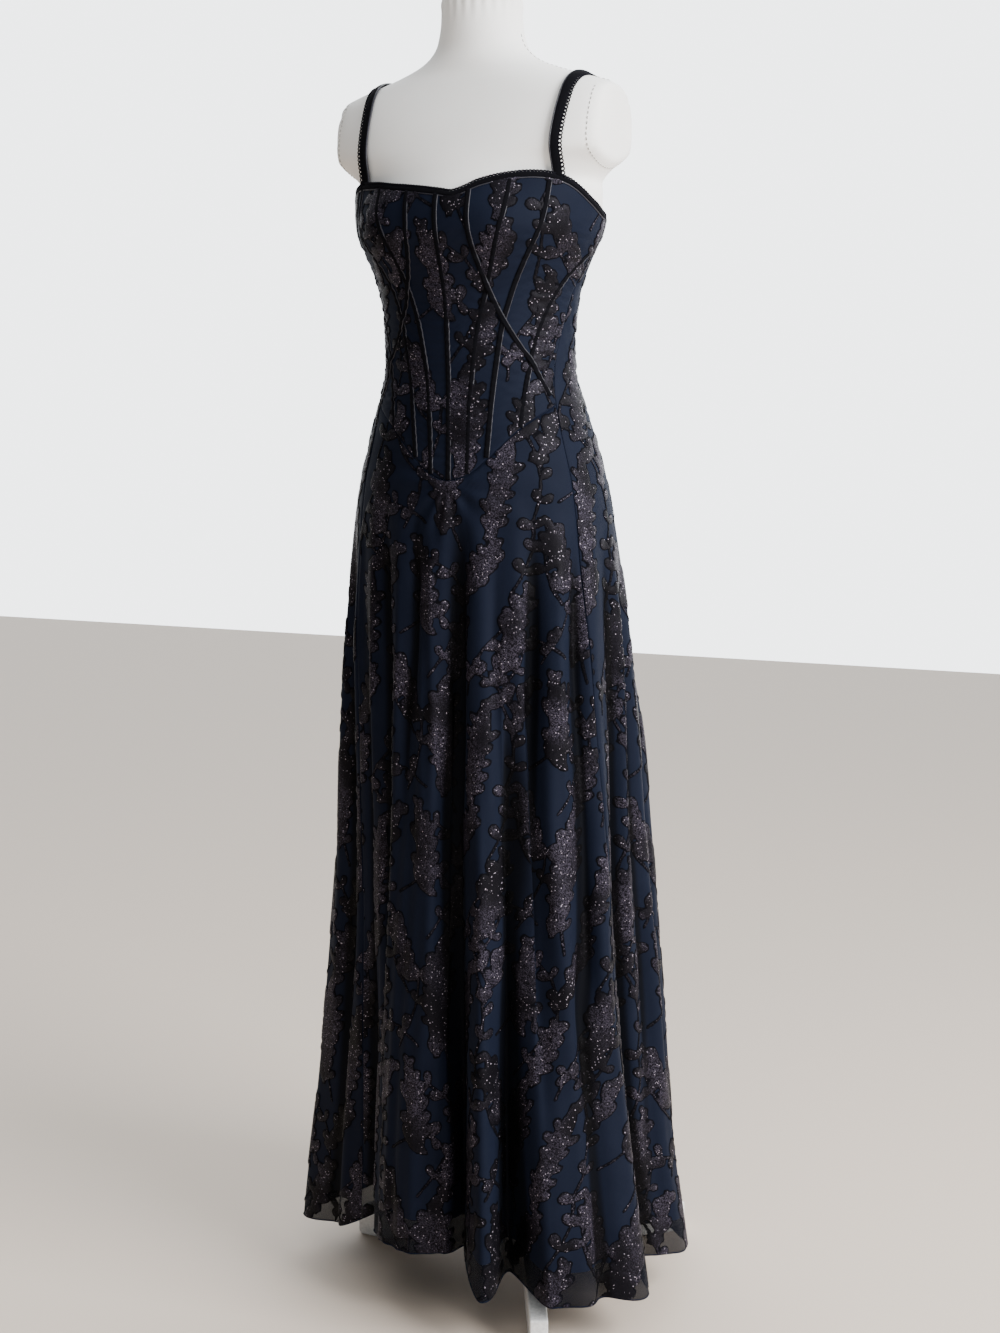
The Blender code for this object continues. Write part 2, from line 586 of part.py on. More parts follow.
SLIDE_Z = 1.2105
slide_y = float(cloth_point(180, 1.206, CLOTH)[1]) + .0006
slide_y = max(slide_y, float(cloth_point(180, SLIDE_Z + .004, CLOTH)[1]) + .0006)
PIN_Y, PIN_Z = slide_y + .0040, SLIDE_Z + .0022
body = block((.0050, .0024, .0090), (SHIFT_X, SHIFT_Y + slide_y + .0012, SLIDE_Z))
lugs = [block((.0009, .0034, .0030), (SHIFT_X + s * .0017, SHIFT_Y + PIN_Y - .0007, PIN_Z))
        for s in (-1, 1)]
pin = rod(.00045, .0034, (SHIFT_X, SHIFT_Y + PIN_Y, PIN_Z))
combined("zip_slide", body, lugs + [pin], "UNION", ZIP_METAL)
tab = block((.0018, .0010, .0030), (SHIFT_X, SHIFT_Y + PIN_Y, PIN_Z - .0020))
plate = block((.0042, .0010, .0170), (SHIFT_X, SHIFT_Y + PIN_Y, PIN_Z - .0115))
barrel = rod(.0012, .0018, (SHIFT_X, SHIFT_Y + PIN_Y, PIN_Z), 24)
pull = combined("zip_pull", barrel, [tab, plate], "UNION", ZIP_METAL)
hole = rod(.00053, .0040, (SHIFT_X, SHIFT_Y + PIN_Y, PIN_Z), 24)
cut = pull.modifiers.new("Pin hole", "BOOLEAN")
cut.operation, cut.object, cut.solver = "DIFFERENCE", hole, "EXACT"
hole.hide_render = True
hole.hide_set(True)
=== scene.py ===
# %% [markdown]
# # A chiffon evening dress on a limbless dress form
#
# The dress is a boned bodice and a long panelled skirt, cut from a navy chiffon with a woven
# motif of leaves in dark thread and a little metal yarn, over a plain navy lining. Velvet
# ribbons cover the seams of the bodice. It hangs on a form covered in white jersey.
#
# The CAD part gives the true shape of every piece. This script repeats its few driving tables,
# works out the same surface from them much more finely, and adds what is too small for the
# solids: creases, the woven motif, velvet pile, picot loops, stitches and the zip's teeth.

# %%
import math

import bmesh
import bpy
import numpy as np
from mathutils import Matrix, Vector


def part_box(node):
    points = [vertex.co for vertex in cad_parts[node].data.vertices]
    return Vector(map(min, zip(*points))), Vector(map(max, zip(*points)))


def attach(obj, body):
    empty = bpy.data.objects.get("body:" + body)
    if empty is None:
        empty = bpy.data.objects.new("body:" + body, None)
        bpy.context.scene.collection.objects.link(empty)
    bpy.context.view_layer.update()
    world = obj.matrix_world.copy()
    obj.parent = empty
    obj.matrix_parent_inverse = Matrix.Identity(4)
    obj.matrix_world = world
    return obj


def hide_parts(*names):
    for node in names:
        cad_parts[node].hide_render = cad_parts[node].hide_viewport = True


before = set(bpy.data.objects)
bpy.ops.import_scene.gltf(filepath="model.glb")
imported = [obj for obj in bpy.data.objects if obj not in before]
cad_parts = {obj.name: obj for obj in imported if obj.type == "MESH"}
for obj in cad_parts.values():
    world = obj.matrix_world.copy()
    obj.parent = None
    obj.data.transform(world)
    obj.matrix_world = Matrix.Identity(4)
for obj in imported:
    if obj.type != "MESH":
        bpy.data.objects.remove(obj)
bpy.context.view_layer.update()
# The stand's pole is a little left of and behind the middle of the form
STAND_X, STAND_Y = 0.0430, 0.0342
pole_low, pole_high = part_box("pole")
AXIS = np.array([(pole_low.x + pole_high.x) / 2 - STAND_X, (pole_low.y + pole_high.y) / 2 - STAND_Y, 0])

# %% [markdown]
# ## The driving sizes
#
# A dressmaker's block is a set of girths at known heights. The cloth here is the same: half a
# width and two depths at each height, one row for each fold of the hem, and the lines of the
# seams and ribbons as angles from the front. All are metres and degrees, and they are the same
# values that the solids were made from, so that the fine pieces lie on them.

# %%
COVER = 0.0013
CHIFFON = 0.0005
BAND_HEIGHT = 0.0050
RIBBON_WIDTH = 0.0056
CROSS_RISE = 0.0013
CROSS_REACH = 0.011
LINING_RISE = 0.036
FOLD_TOP = 0.950
FORM_BOTTOM = 0.785
ARM_PLATE = 0.163
ARM_PLATE_EDGE = 0.005
STRAP_WIDTH = 0.0100
STRAP_THICK = 0.0016

# Height, half width, depth of the front, depth of the back
SECTIONS = np.array([
    (1.300, .153, .100, .087), (1.260, .1485, .1125, .092), (1.235, .146, .121, .095),
    (1.210, .141, .122, .093), (1.185, .1295, .1145, .086), (1.150, .1165, .1040, .076),
    (1.118, .112, .100, .070), (1.085, .110, .100, .069), (1.050, .113, .100, .078),
    (1.020, .122, .103, .094), (0.980, .134, .107, .112), (0.940, .144, .112, .126),
    (0.900, .151, .116, .138), (0.850, .157, .118, .154), (0.800, .162, .121, .172),
    (0.700, .170, .125, .204), (0.600, .177, .130, .228), (0.500, .184, .136, .242),
    (0.400, .192, .144, .246), (0.300, .201, .153, .250), (0.200, .212, .163, .252),
    (0.100, .225, .172, .253), (0.040, .233, .178, .254)])
FORM = np.array([
    (0.785, .116, .080, .094), (0.789, .131, .092, .108), (0.800, .140, .099, .117),
    (0.830, .145, .102, .122), (0.870, .145, .104, .122), (0.910, .142, .105, .119),
    (0.950, .136, .104, .112), (0.990, .126, .101, .1000), (1.020, .1175, .0985, .0885),
    (1.050, .1092, .0964, .0744), (1.085, .1062, .0964, .0654), (1.118, .1082, .0964, .0664),
    (1.150, .1129, .1004, .0724), (1.185, .1258, .1108, .0824), (1.210, .1372, .1184, .0894),
    (1.235, .1424, .1174, .0914), (1.255, .1436, .1086, .0884), (1.269, .1440, .1030, .0878),
    (1.284, .160, .098, .088), (1.300, .188, .092, .089), (1.325, .200, .082, .086),
    (1.345, .198, .072, .080), (1.360, .186, .064, .073), (1.374, .150, .057, .065),
    (1.387, .106, .051, .058), (1.399, .074, .048, .054), (1.413, .056, .045, .050),
    (1.432, .048, .044, .047), (1.455, .0455, .0435, .0455), (1.468, .0450, .0430, .0450),
    (1.4725, .042, .040, .042), (1.4745, .035, .033, .035)])
# Angle from the front, radius and height of the hem at each ridge and valley
HEM = np.array([
    (-180, .262, .050), (-163, .226, .056), (-147, .258, .048), (-129, .220, .054),
    (-113, .246, .044), (-98, .204, .048), (-81, .229, .040), (-66, .170, .050),
    (-49, .118, .082), (-30, .142, .074), (-14, .163, .082), (-2, .170, .082),
    (12, .158, .082), (19, .126, .080), (28, .222, .056), (38, .171, .070), (46, .246, .055),
    (55, .255, .055), (60, .247, .056), (69, .266, .050), (86, .200, .056), (106, .243, .048),
    (123, .214, .056), (141, .260, .050), (160, .224, .056), (180, .262, .050)])
# Angle from the bodice's centre line, height
TOP_EDGE = np.array([
    (-190, 1.222), (-150, 1.222), (-110, 1.227), (-91, 1.233), (-78, 1.248), (-66, 1.264),
    (-45, 1.265), (-30, 1.261), (-10, 1.256), (3, 1.252), (9, 1.250), (14, 1.2525),
    (24, 1.261), (46, 1.2695), (58, 1.2685), (66, 1.263), (78, 1.245), (91, 1.231),
    (110, 1.226), (150, 1.222), (190, 1.222)])
V_SEAM = np.array([(0, .9420), (5, .9432), (11, .9480), (22, .9650), (41, .9980), (63.5, 1.0240)])
# Height, centre line, side seams of the front, side seams of the back
SEAMS = np.array([
    (1.290, 2.2, 100, -96, 140, -132), (1.250, 3.0, 99, -94, 137, -130),
    (1.200, 4.0, 95, -88, 134, -126), (1.130, 5.3, 84, -74, 129, -121),
    (1.080, 6.3, 76, -63.5, 126, -118), (1.024, 7.4, 70.9, -56.1, 123, -116),
    (0.940, 9.0, 72, -56.6, 121, -114), (0.000, 9.0, 73, -57, 120, -113)])
# Angle from the centre line, height
RIBBONS = {
    "inner": ((39, 1.262), (35, 1.235), (31, 1.205), (27, 1.160), (20.5, 1.112), (16.5, 1.075),
              (13.5, 1.030), (12.3, .998), (11, .9495)),
    "middle": ((57, 1.262), (52, 1.222), (45.6, 1.180), (39, 1.138), (34, 1.107), (29.3, 1.061),
               (26, 1.025), (24, .998), (21.8, .967)),
    "outer": ((86, 1.188), (79.6, 1.177), (72, 1.159), (62.7, 1.130), (54.5, 1.094),
              (48.5, 1.055), (43, 1.018), (41, .9995)),
    "crossing": ((18.5, 1.258), (17, 1.220), (19, 1.190), (24.5, 1.158), (33, 1.122),
                 (43.5, 1.090), (52, 1.068), (61.0, 1.034)),
}
# Side, angle of the front end, half distance at the shoulder, angle of the back end
STRAPS = {"left": (1, 61.0, .129, 145.0), "right": (-1, -55.0, -.118, -145.0)}

# %% [markdown]
# Soft valleys run down the skirt from the hips, where the cloth has more width than the body
# under it. Each is one row: the angle and height of its two ends, its depth and half its width.

# %%
VALLEYS = (
    # top angle, top height, low angle, low height, depth, half width
    (-33, .945, -31, .36, .0120, .0125),
    (-8, .925, -13, .62, .0060, .0090),
    (13, .930, 12, .30, .0125, .0120),
    (51, .935, 45, .34, .0140, .0130),
    (72, .920, 62, .36, .0120, .0110),
    (88, .910, 88, .25, .0100, .0100),
    (103, .890, 97, .20, .0090, .0095),
    (132, .860, 128, .20, .0080, .0130),
    (163, .870, 162, .20, .0080, .0140),
    (-66, .920, -66, .30, .0100, .0120),
    (-98, .880, -98, .20, .0080, .0130),
    (-130, .870, -129, .20, .0080, .0130),
    (-162, .870, -163, .20, .0080, .0130),
)


# %% [markdown]
# ## One surface for all the cloth
#
# `cloth_radius` turns an angle and a height into a distance from the axis: first the girth at that
# height, then the folds, which grow from nothing at the hip to their full size at the hem. `creases`
# adds what the making leaves in the cloth, and `skin` gives a point any distance out from it.

# %%
def through(x, xs, ys):
    """A smooth curve through the rows of a table."""
    order = np.argsort(xs)
    xs, ys = np.asarray(xs, float)[order], np.asarray(ys, float)[order]
    x = np.clip(x, xs[0], xs[-1])
    slope = np.diff(ys) / np.diff(xs)
    tangent = np.concatenate([slope[:1], (slope[1:] + slope[:-1]) / 2, slope[-1:]])
    i = np.clip(np.searchsorted(xs, x) - 1, 0, len(xs) - 2)
    h = xs[i + 1] - xs[i]
    t = (x - xs[i]) / h
    return ((1 + 2 * t) * (1 - t) ** 2 * ys[i] + t * (1 - t) ** 2 * h * tangent[i]
            + t * t * (3 - 2 * t) * ys[i + 1] + t * t * (t - 1) * h * tangent[i + 1])


def eased(x, xs, ys):
    """Level at each row of the table, as a fold's ridge or valley is."""
    i = np.clip(np.searchsorted(xs, x, side="right") - 1, 0, len(xs) - 2)
    t = np.clip((x - xs[i]) / (xs[i + 1] - xs[i]), 0, 1)
    return ys[i] + (ys[i + 1] - ys[i]) * (1 - np.cos(np.pi * t)) / 2


def step(low, high, x):
    t = np.clip((x - low) / (high - low), 0, 1)
    return t * t * (3 - 2 * t)


def wrapped(deg):
    return (np.asarray(deg, float) + 180) % 360 - 180


def section_radius(deg, z, table):
    a, front, back = (through(z, table[:, 0], table[:, k]) for k in (1, 2, 3))
    s, c = np.sin(np.radians(deg)), np.cos(np.radians(deg))
    r = 1 / np.sqrt((s / a) ** 2 + (c / np.where(c > 0, front, back)) ** 2)
    bust = .008 * np.exp(-((np.abs(wrapped(deg)) - 36) / 17) ** 2 - ((z - 1.212) / .035) ** 2)
    return r + bust


def hem_height(deg):
    return eased(wrapped(deg), HEM[:, 0], HEM[:, 2])


def cloth_radius(deg, z):
    deg = wrapped(deg)
    low = hem_height(deg)
    fold = eased(deg, HEM[:, 0], HEM[:, 1]) - section_radius(deg, low, SECTIONS)
    return section_radius(deg, z, SECTIONS) + fold * np.clip((FOLD_TOP - z) / (FOLD_TOP - low), 0, 1.2) ** 1.3


def centre_line(z):
    return through(z, SEAMS[:, 0], SEAMS[:, 1])


def seam(column, z):
    """The angle of a seam at a height. 180 and -180 are the centre back, seen from either side."""
    if column in (180, -180):
        return np.full(np.shape(z), float(column))
    return through(z, SEAMS[:, 0], SEAMS[:, column])


def top_height(deg, z):
    return through(deg - centre_line(z), TOP_EDGE[:, 0], TOP_EDGE[:, 1])


def v_height(deg, z):
    return through(np.abs(deg - centre_line(z)), V_SEAM[:, 0], V_SEAM[:, 1])


def creases(deg, z):
    """How far the small creases stand out from the smooth cloth."""
    deg = wrapped(deg)
    rel = wrapped(deg - centre_line(z))
    made = np.zeros(np.broadcast(deg, z).shape)
    for top, top_z, low, low_z, depth, half in VALLEYS:
        share = (top_z - z) / (top_z - low_z)
        line = top + (low - top) * np.clip(share, 0, 1) + 1.3 * np.sin(7 * share + top)
        across = np.radians(wrapped(deg - line)) * cloth_radius(deg, z) / half
        length = step(-.03, .34, share) * (1 - step(.75, 1.25, share))
        made -= depth * length * (np.exp(-across ** 2) - .35 * np.exp(-(np.abs(across) - 1.9) ** 2))
    # Gathers fan out from the point of the bodice
    x, y = np.radians(rel) * .115, z - .942
    reach, turn = np.hypot(x, y), np.arctan2(x, -y)
    under = step(0, .010, v_height(deg, z) - z)
    fan = np.cos(12.5 * turn + .8 * np.sin(3 * turn + 1)) * step(.006, .030, reach) * np.exp(-(reach / .085) ** 2)
    made += .0016 * fan * under * (np.abs(turn) < 1.9)
    # Light creases across the boned bodice, most of them between its ribbons
    high = step(-.004, .012, z - v_height(deg, z)) * (1 - step(1.18, 1.24, z)) * (np.abs(rel) < 95)
    drift = .004 * np.sin(.11 * deg + 9) + .003 * np.sin(.29 * deg)
    made += .00050 * high * np.sin(2 * np.pi * (z + drift) / .0135) * (.5 + .5 * np.sin(.21 * deg + 40 * z))
    made += .00034 * high * np.sin(2 * np.pi * (z - drift) / .0082 + .1 * deg)
    # Small uneven waves, so that no stretch of cloth is a perfect surface
    loose = step(-.02, .25, .93 - z)
    made += loose * .0011 * np.sin(.31 * deg + 3 * np.sin(5.1 * z)) * np.sin(11 * z + .07 * deg)
    made += loose * .0008 * np.sin(.83 * deg + 2 * np.sin(8.3 * z + .05 * deg))
    return made


FOLD_DEG, FOLD_Z = np.arange(-180, 180, .75), np.arange(.03, 1.03, .008)


def fold_table():
    """How deep in a fold each place lies: its radius against the mean of its neighbours."""
    radius = cloth_radius(FOLD_DEG[None], FOLD_Z[:, None]) + creases(FOLD_DEG[None], FOLD_Z[:, None])
    soft = np.exp(-2 * (np.pi * 7.0 * np.fft.rfftfreq(len(FOLD_DEG), .75)) ** 2)
    mean = np.fft.irfft(np.fft.rfft(radius, axis=1) * soft, len(FOLD_DEG), axis=1)
    return step(.0002, .0058, mean - radius)


# How deep in a fold each place lies: the mask of the shade painted into the cloth and the motif
FOLDS = fold_table()


def in_fold(deg, z):
    """1 at the bottom of a deep fold and 0 on the open cloth."""
    x = (wrapped(deg) + 180) / .75
    y = np.clip((z - FOLD_Z[0]) / .008, 0, len(FOLD_Z) - 1.001)
    i, j = x.astype(int) % len(FOLD_DEG), y.astype(int)
    nxt, s, t = (i + 1) % len(FOLD_DEG), x % 1, y - j
    found = ((FOLDS[j, i] * (1 - s) + FOLDS[j, nxt] * s) * (1 - t)
             + (FOLDS[j + 1, i] * (1 - s) + FOLDS[j + 1, nxt] * s) * t)
    return found * (1 - step(.96, 1.0, z))


def seam_dip(deg, z):
    """The cloth is drawn in a little along each long seam."""
    made = np.zeros(np.broadcast(deg, z).shape)
    for column in (2, 3, 4, 5, 180):
        gap = np.radians(wrapped(deg - seam(column, z))) * cloth_radius(deg, z)
        made -= .0007 * np.exp(-(gap / .0016) ** 2)
    gap = z - v_height(deg, z)
    front = np.abs(wrapped(deg - centre_line(z))) < 66
    return made - .0007 * front * np.exp(-(gap / .0016) ** 2)


def skin(deg, z, out=0.0, creased=True):
    """The point of the cloth at this angle and height, moved level and square to the cloth."""
    deg, z, out = np.broadcast_arrays(*(np.asarray(v, float) for v in (deg, z, out)))

    def at(d):
        r, q = cloth_radius(d, z), np.radians(d)
        return np.stack([r * np.sin(q), -r * np.cos(q), z], -1)

    along = at(deg + .15) - at(deg - .15)
    square = np.stack([along[..., 1], -along[..., 0], 0 * z], -1)
    if creased:
        out = out + creases(deg, z) + seam_dip(deg, z)
    return at(deg) + square / np.linalg.norm(square, axis=-1)[..., None] * out[..., None]


def way_out(deg, z):
    """The direction square to the smooth cloth, up and down as well as round it."""
    round_ = skin(deg + .2, z, creased=False) - skin(deg - .2, z, creased=False)
    up = skin(deg, z + .001, creased=False) - skin(deg, z - .001, creased=False)
    out = np.cross(round_, up)
    return out / np.linalg.norm(out, axis=-1)[..., None]


# %% [markdown]
# ## Meshes from grids of points
#
# Every piece starts as points about the pole's axis. These helpers move them to the pole's
# place, make the mesh and give it its finish and its body.

# %%
DRESSED = "dressed_form"


def mesh_from(name, points, faces, smooth=True):
    """A mesh with faces of one kind, all triangles or all quads."""
    points, faces = np.asarray(points, float) + AXIS, np.asarray(faces, int)
    mesh = bpy.data.meshes.new(name)
    count, corners = faces.shape
    mesh.vertices.add(len(points))
    mesh.loops.add(count * corners)
    mesh.polygons.add(count)
    mesh.vertices.foreach_set("co", points.astype(np.float32).ravel())
    mesh.loops.foreach_set("vertex_index", faces.astype(np.int32).ravel())
    mesh.polygons.foreach_set("loop_start", np.arange(count, dtype=np.int32) * corners)
    mesh.polygons.foreach_set("loop_total", np.full(count, corners, np.int32))
    mesh.polygons.foreach_set("use_smooth", np.full(count, smooth))
    mesh.update(calc_edges=True)
    mesh.validate()
    obj = bpy.data.objects.new(name, mesh)
    bpy.context.scene.collection.objects.link(obj)
    return obj


def add_value(obj, name, values):
    """A number for each vertex, which a material can read."""
    made = obj.data.attributes.new(name, "FLOAT", "POINT")
    made.data.foreach_set("value", np.asarray(values, np.float32).ravel())


def add_uv(obj, u, v):
    """A flat map in metres: how far across the cut cloth, and how far up it."""
    layer = obj.data.uv_layers.new(name="cloth")
    at = np.zeros(len(obj.data.loops), np.int32)
    obj.data.loops.foreach_get("vertex_index", at)
    layer.data.foreach_set("uv", np.stack([np.ravel(u)[at], np.ravel(v)[at]], -1).astype(np.float32).ravel())


def quads(rows, columns, closed=False):
    """The faces of a grid, row by row, facing away from the axis when the columns go left."""
    last = columns if closed else columns - 1
    i, j = np.meshgrid(np.arange(rows - 1), np.arange(last), indexing="ij")
    a, b = i * columns + j, i * columns + (j + 1) % columns
    return np.stack([a, b, b + columns, a + columns], -1).reshape(-1, 4)


def seat(obj, material, slot, *replaced, body=DRESSED):
    """Gives a piece its finish and its body, and hides the CAD nodes that it stands for. slot is not used."""
    if material is not None:
        obj.data.materials.clear()
        obj.data.materials.append(material)
    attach(obj, body)
    if replaced:
        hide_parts(*replaced)
    return obj


def sweep(name, middle, across, out, profile, closed_ends=True):
    """A strip of one cross-section along a path. profile is points (across, out), in order."""
    middle, across, out = (np.asarray(v) for v in (middle, across, out))
    profile = np.asarray(profile, float)
    rings = (middle[:, None] + across[:, None] * profile[None, :, :1] + out[:, None] * profile[None, :, 1:])
    count, sides = len(middle), len(profile)
    faces = quads(count, sides, closed=True)
    obj = mesh_from(name, rings.reshape(-1, 3), faces)
    if closed_ends:
        made = bmesh.new()
        made.from_mesh(obj.data)
        made.verts.ensure_lookup_table()
        made.faces.new([made.verts[k] for k in range(sides)])
        made.faces.new([made.verts[(count - 1) * sides + k] for k in range(sides)])
        bmesh.ops.recalc_face_normals(made, faces=made.faces)
        made.to_mesh(obj.data)
        made.free()
    return obj


# %% [markdown]
# ## Finishes
#
# Each finish is a small node tree. The chiffon reads its own flat map, so that its weave runs
# with the cut of each panel. The motif reads how far each point lies inside the outline of its
# leaf: the rim is black cut thread, and the inside is dark thread crossed by metal yarn, which
# glints in single stitches.

# %%
def new_material(name, color, rough, metal=0.0):
    material = bpy.data.materials.new(name)
    material.use_nodes = True
    shader = material.node_tree.nodes["Principled BSDF"]
    shader.inputs["Base Color"].default_value = (*color, 1)
    shader.inputs["Roughness"].default_value = rough
    shader.inputs["Metallic"].default_value = metal
    material.diffuse_color = (*color, 1)
    return material, material.node_tree.nodes, material.node_tree.links, shader


def node(nodes, kind, **settings):
    made = nodes.new(kind)
    for key, value in settings.items():
        setattr(made, key, value)
    return made


def blend_colors(nodes, links, share, first, second):
    """A mix of two colours. share, first and second are sockets or plain values."""
    mix = node(nodes, "ShaderNodeMix", data_type="RGBA")
    for index, value in ((0, share), (6, first), (7, second)):
        if isinstance(value, bpy.types.NodeSocket):
            links.new(value, mix.inputs[index])
        else:
            mix.inputs[index].default_value = value if index == 0 else (*value, 1)
    return mix.outputs[2]


def ramp(nodes, links, value, low, high, first=0.0, second=1.0):
    """A value taken smoothly from one range to another."""
    made = node(nodes, "ShaderNodeMapRange", interpolation_type="SMOOTHSTEP")
    links.new(value, made.inputs["Value"])
    made.inputs["From Min"].default_value = low
    made.inputs["From Max"].default_value = high
    made.inputs["To Min"].default_value = first
    made.inputs["To Max"].default_value = second
    return made.outputs["Result"]


def bumped(nodes, links, shader, height, strength, distance):
    made = node(nodes, "ShaderNodeBump")
    made.inputs["Strength"].default_value = strength
    made.inputs["Distance"].default_value = distance
    links.new(height, made.inputs["Height"])
    links.new(made.outputs["Normal"], shader.inputs["Normal"])


def painted_fold_shade(nodes, links, color, base):
    """Painted shade: the colour darkens at the bottom of deep folds, where shade falls."""
    fold = node(nodes, "ShaderNodeAttribute", attribute_name="fold")
    return blend_colors(nodes, links, ramp(nodes, links, fold.outputs["Fac"], .0, 1.0, 0, .90), color,
                        tuple(.10 * c for c in base))


def chiffon_material(name, color, cloudy, seen_through=0.0):
    material, nodes, links, shader = new_material(name, color, .70)
    shader.inputs["Sheen Weight"].default_value = .03
    shader.inputs["Sheen Roughness"].default_value = .45
    shader.inputs["Sheen Tint"].default_value = (.35, .42, .62, 1)
    shader.inputs["Specular IOR Level"].default_value = .06
    if seen_through:
        shader.inputs["Alpha"].default_value = 1 - seen_through
    uv = node(nodes, "ShaderNodeUVMap", uv_map="cloth")
    noise = node(nodes, "ShaderNodeTexNoise")
    noise.inputs["Scale"].default_value = 26
    noise.inputs["Detail"].default_value = 3
    links.new(uv.outputs["UV"], noise.inputs["Vector"])
    open_cloth = blend_colors(nodes, links, ramp(nodes, links, noise.outputs[0], .35, .7), color, cloudy)
    # Painted shade darkens the cloth's colour in its deep folds
    links.new(painted_fold_shade(nodes, links, open_cloth, color), shader.inputs["Base Color"])
    threads = node(nodes, "ShaderNodeTexWave", bands_direction="X")
    threads.inputs["Scale"].default_value = 420
    threads.inputs["Distortion"].default_value = 1.5
    links.new(uv.outputs["UV"], threads.inputs["Vector"])
    bumped(nodes, links, shader, threads.outputs["Fac"], .12, .0002)
    return material


def motif_material():
    material, nodes, links, shader = new_material("leaf motif thread", (.03, .026, .035), .5)
    shader.inputs["Specular IOR Level"].default_value = .06
    place = node(nodes, "ShaderNodeTexCoord")
    inside = node(nodes, "ShaderNodeAttribute", attribute_name="inside")
    fine = node(nodes, "ShaderNodeTexNoise")
    fine.inputs["Scale"].default_value = 700
    fine.inputs["Detail"].default_value = 2
    links.new(place.outputs["Object"], fine.inputs["Vector"])
    frayed = node(nodes, "ShaderNodeMath", operation="MULTIPLY_ADD")
    links.new(fine.outputs[0], frayed.inputs[0])
    frayed.inputs[1].default_value = 1.6
    links.new(inside.outputs["Fac"], frayed.inputs[2])
    body = ramp(nodes, links, frayed.outputs[0], 1.45, 2.15)
    stitches = node(nodes, "ShaderNodeTexVoronoi")
    stitches.inputs["Scale"].default_value = 1050
    links.new(place.outputs["Object"], stitches.inputs["Vector"])
    split = node(nodes, "ShaderNodeSeparateColor")
    links.new(stitches.outputs["Color"], split.inputs[0])
    thread = blend_colors(nodes, links, ramp(nodes, links, split.outputs[0], .25, 1.0),
                          (.0034, .0030, .0050), (.050, .043, .062))
    # Large patches of the motif are darker than the rest, spread at random
    cloud = node(nodes, "ShaderNodeTexNoise")
    cloud.inputs["Scale"].default_value = 15
    links.new(place.outputs["Object"], cloud.inputs["Vector"])
    thread = blend_colors(nodes, links, ramp(nodes, links, cloud.outputs[0], .36, .62), (.0050, .0045, .0065), thread)
    glint = blend_colors(nodes, links, ramp(nodes, links, split.outputs[1], .978, .992), thread, (.34, .30, .36))
    threads = blend_colors(nodes, links, body, (.0016, .0016, .003), glint)
    # Painted shade darkens the motif's colour in the deep folds of the cloth
    links.new(painted_fold_shade(nodes, links, threads, (.012, .011, .014)), shader.inputs["Base Color"])
    metal = node(nodes, "ShaderNodeMath", operation="MULTIPLY")
    links.new(body, metal.inputs[0])
    links.new(ramp(nodes, links, split.outputs[2], .3, .7, .10, .36), metal.inputs[1])
    links.new(metal.outputs[0], shader.inputs["Metallic"])
    links.new(ramp(nodes, links, body, 0, 1, .88, .50), shader.inputs["Roughness"])
    bumped(nodes, links, shader, split.outputs[0], .7, .0008)
    return material


def pile_material(name, color, tint):
    """Velvet: dark where it is looked into, a little lighter along its sides."""
    material, nodes, links, shader = new_material(name, color, .95)
    shader.inputs["Specular IOR Level"].default_value = .08
    shader.inputs["Sheen Weight"].default_value = .12
    shader.inputs["Sheen Roughness"].default_value = .35
    shader.inputs["Sheen Tint"].default_value = (*tint, 1)
    place = node(nodes, "ShaderNodeTexCoord")
    noise = node(nodes, "ShaderNodeTexNoise")
    noise.inputs["Scale"].default_value = 900
    links.new(place.outputs["Object"], noise.inputs["Vector"])
    links.new(blend_colors(nodes, links, noise.outputs[0], color, tuple(min(1, 2.4 * c) for c in color)),
              shader.inputs["Base Color"])
    bumped(nodes, links, shader, noise.outputs[0], .5, .0004)
    return material


def knit_material(name, color, shade, scale, strength):
    material, nodes, links, shader = new_material(name, color, .85)
    shader.inputs["Sheen Weight"].default_value = .15
    place = node(nodes, "ShaderNodeTexCoord")
    cloud = node(nodes, "ShaderNodeTexNoise")
    cloud.inputs["Scale"].default_value = 9
    cloud.inputs["Detail"].default_value = 4
    links.new(place.outputs["Object"], cloud.inputs["Vector"])
    links.new(blend_colors(nodes, links, ramp(nodes, links, cloud.outputs[0], .3, .75), color, shade),
              shader.inputs["Base Color"])
    grain = node(nodes, "ShaderNodeTexNoise")
    grain.inputs["Scale"].default_value = scale
    links.new(place.outputs["Object"], grain.inputs["Vector"])
    bumped(nodes, links, shader, grain.outputs[0], strength, .0005)
    return material


def satin_material(name, color, rough, metal=0.0):
    material, nodes, links, shader = new_material(name, color, rough, metal)
    place = node(nodes, "ShaderNodeTexCoord")
    grain = node(nodes, "ShaderNodeTexNoise")
    grain.inputs["Scale"].default_value = 300
    links.new(place.outputs["Object"], grain.inputs["Vector"])
    links.new(blend_colors(nodes, links, grain.outputs[0], tuple(.7 * c for c in color),
                           tuple(min(1, 1.25 * c) for c in color)), shader.inputs["Base Color"])
    links.new(ramp(nodes, links, grain.outputs[0], .3, .7, rough * .85, min(1, rough * 1.2)),
              shader.inputs["Roughness"])
    return material


chiffon = chiffon_material("navy chiffon", (.0040, .0060, .0142), (.0048, .0070, .0160))
sheer = chiffon_material("sheer hem", (.0042, .0048, .0082), (.0048, .0054, .0090), seen_through=.27)
lining_cloth = chiffon_material("navy lining", (.0027, .0042, .0110), (.0032, .0048, .0120))
motif_thread = motif_material()
velvet = pile_material("black velvet", (.0010, .0010, .0017), (.06, .06, .10))
picot_thread = pile_material("picot thread", (.003, .003, .0045), (.12, .12, .16))
satin = satin_material("ribbon edge", (.011, .011, .019), .48)
jersey = knit_material("white jersey", (.93, .92, .90), (.88, .87, .85), 900, .25)
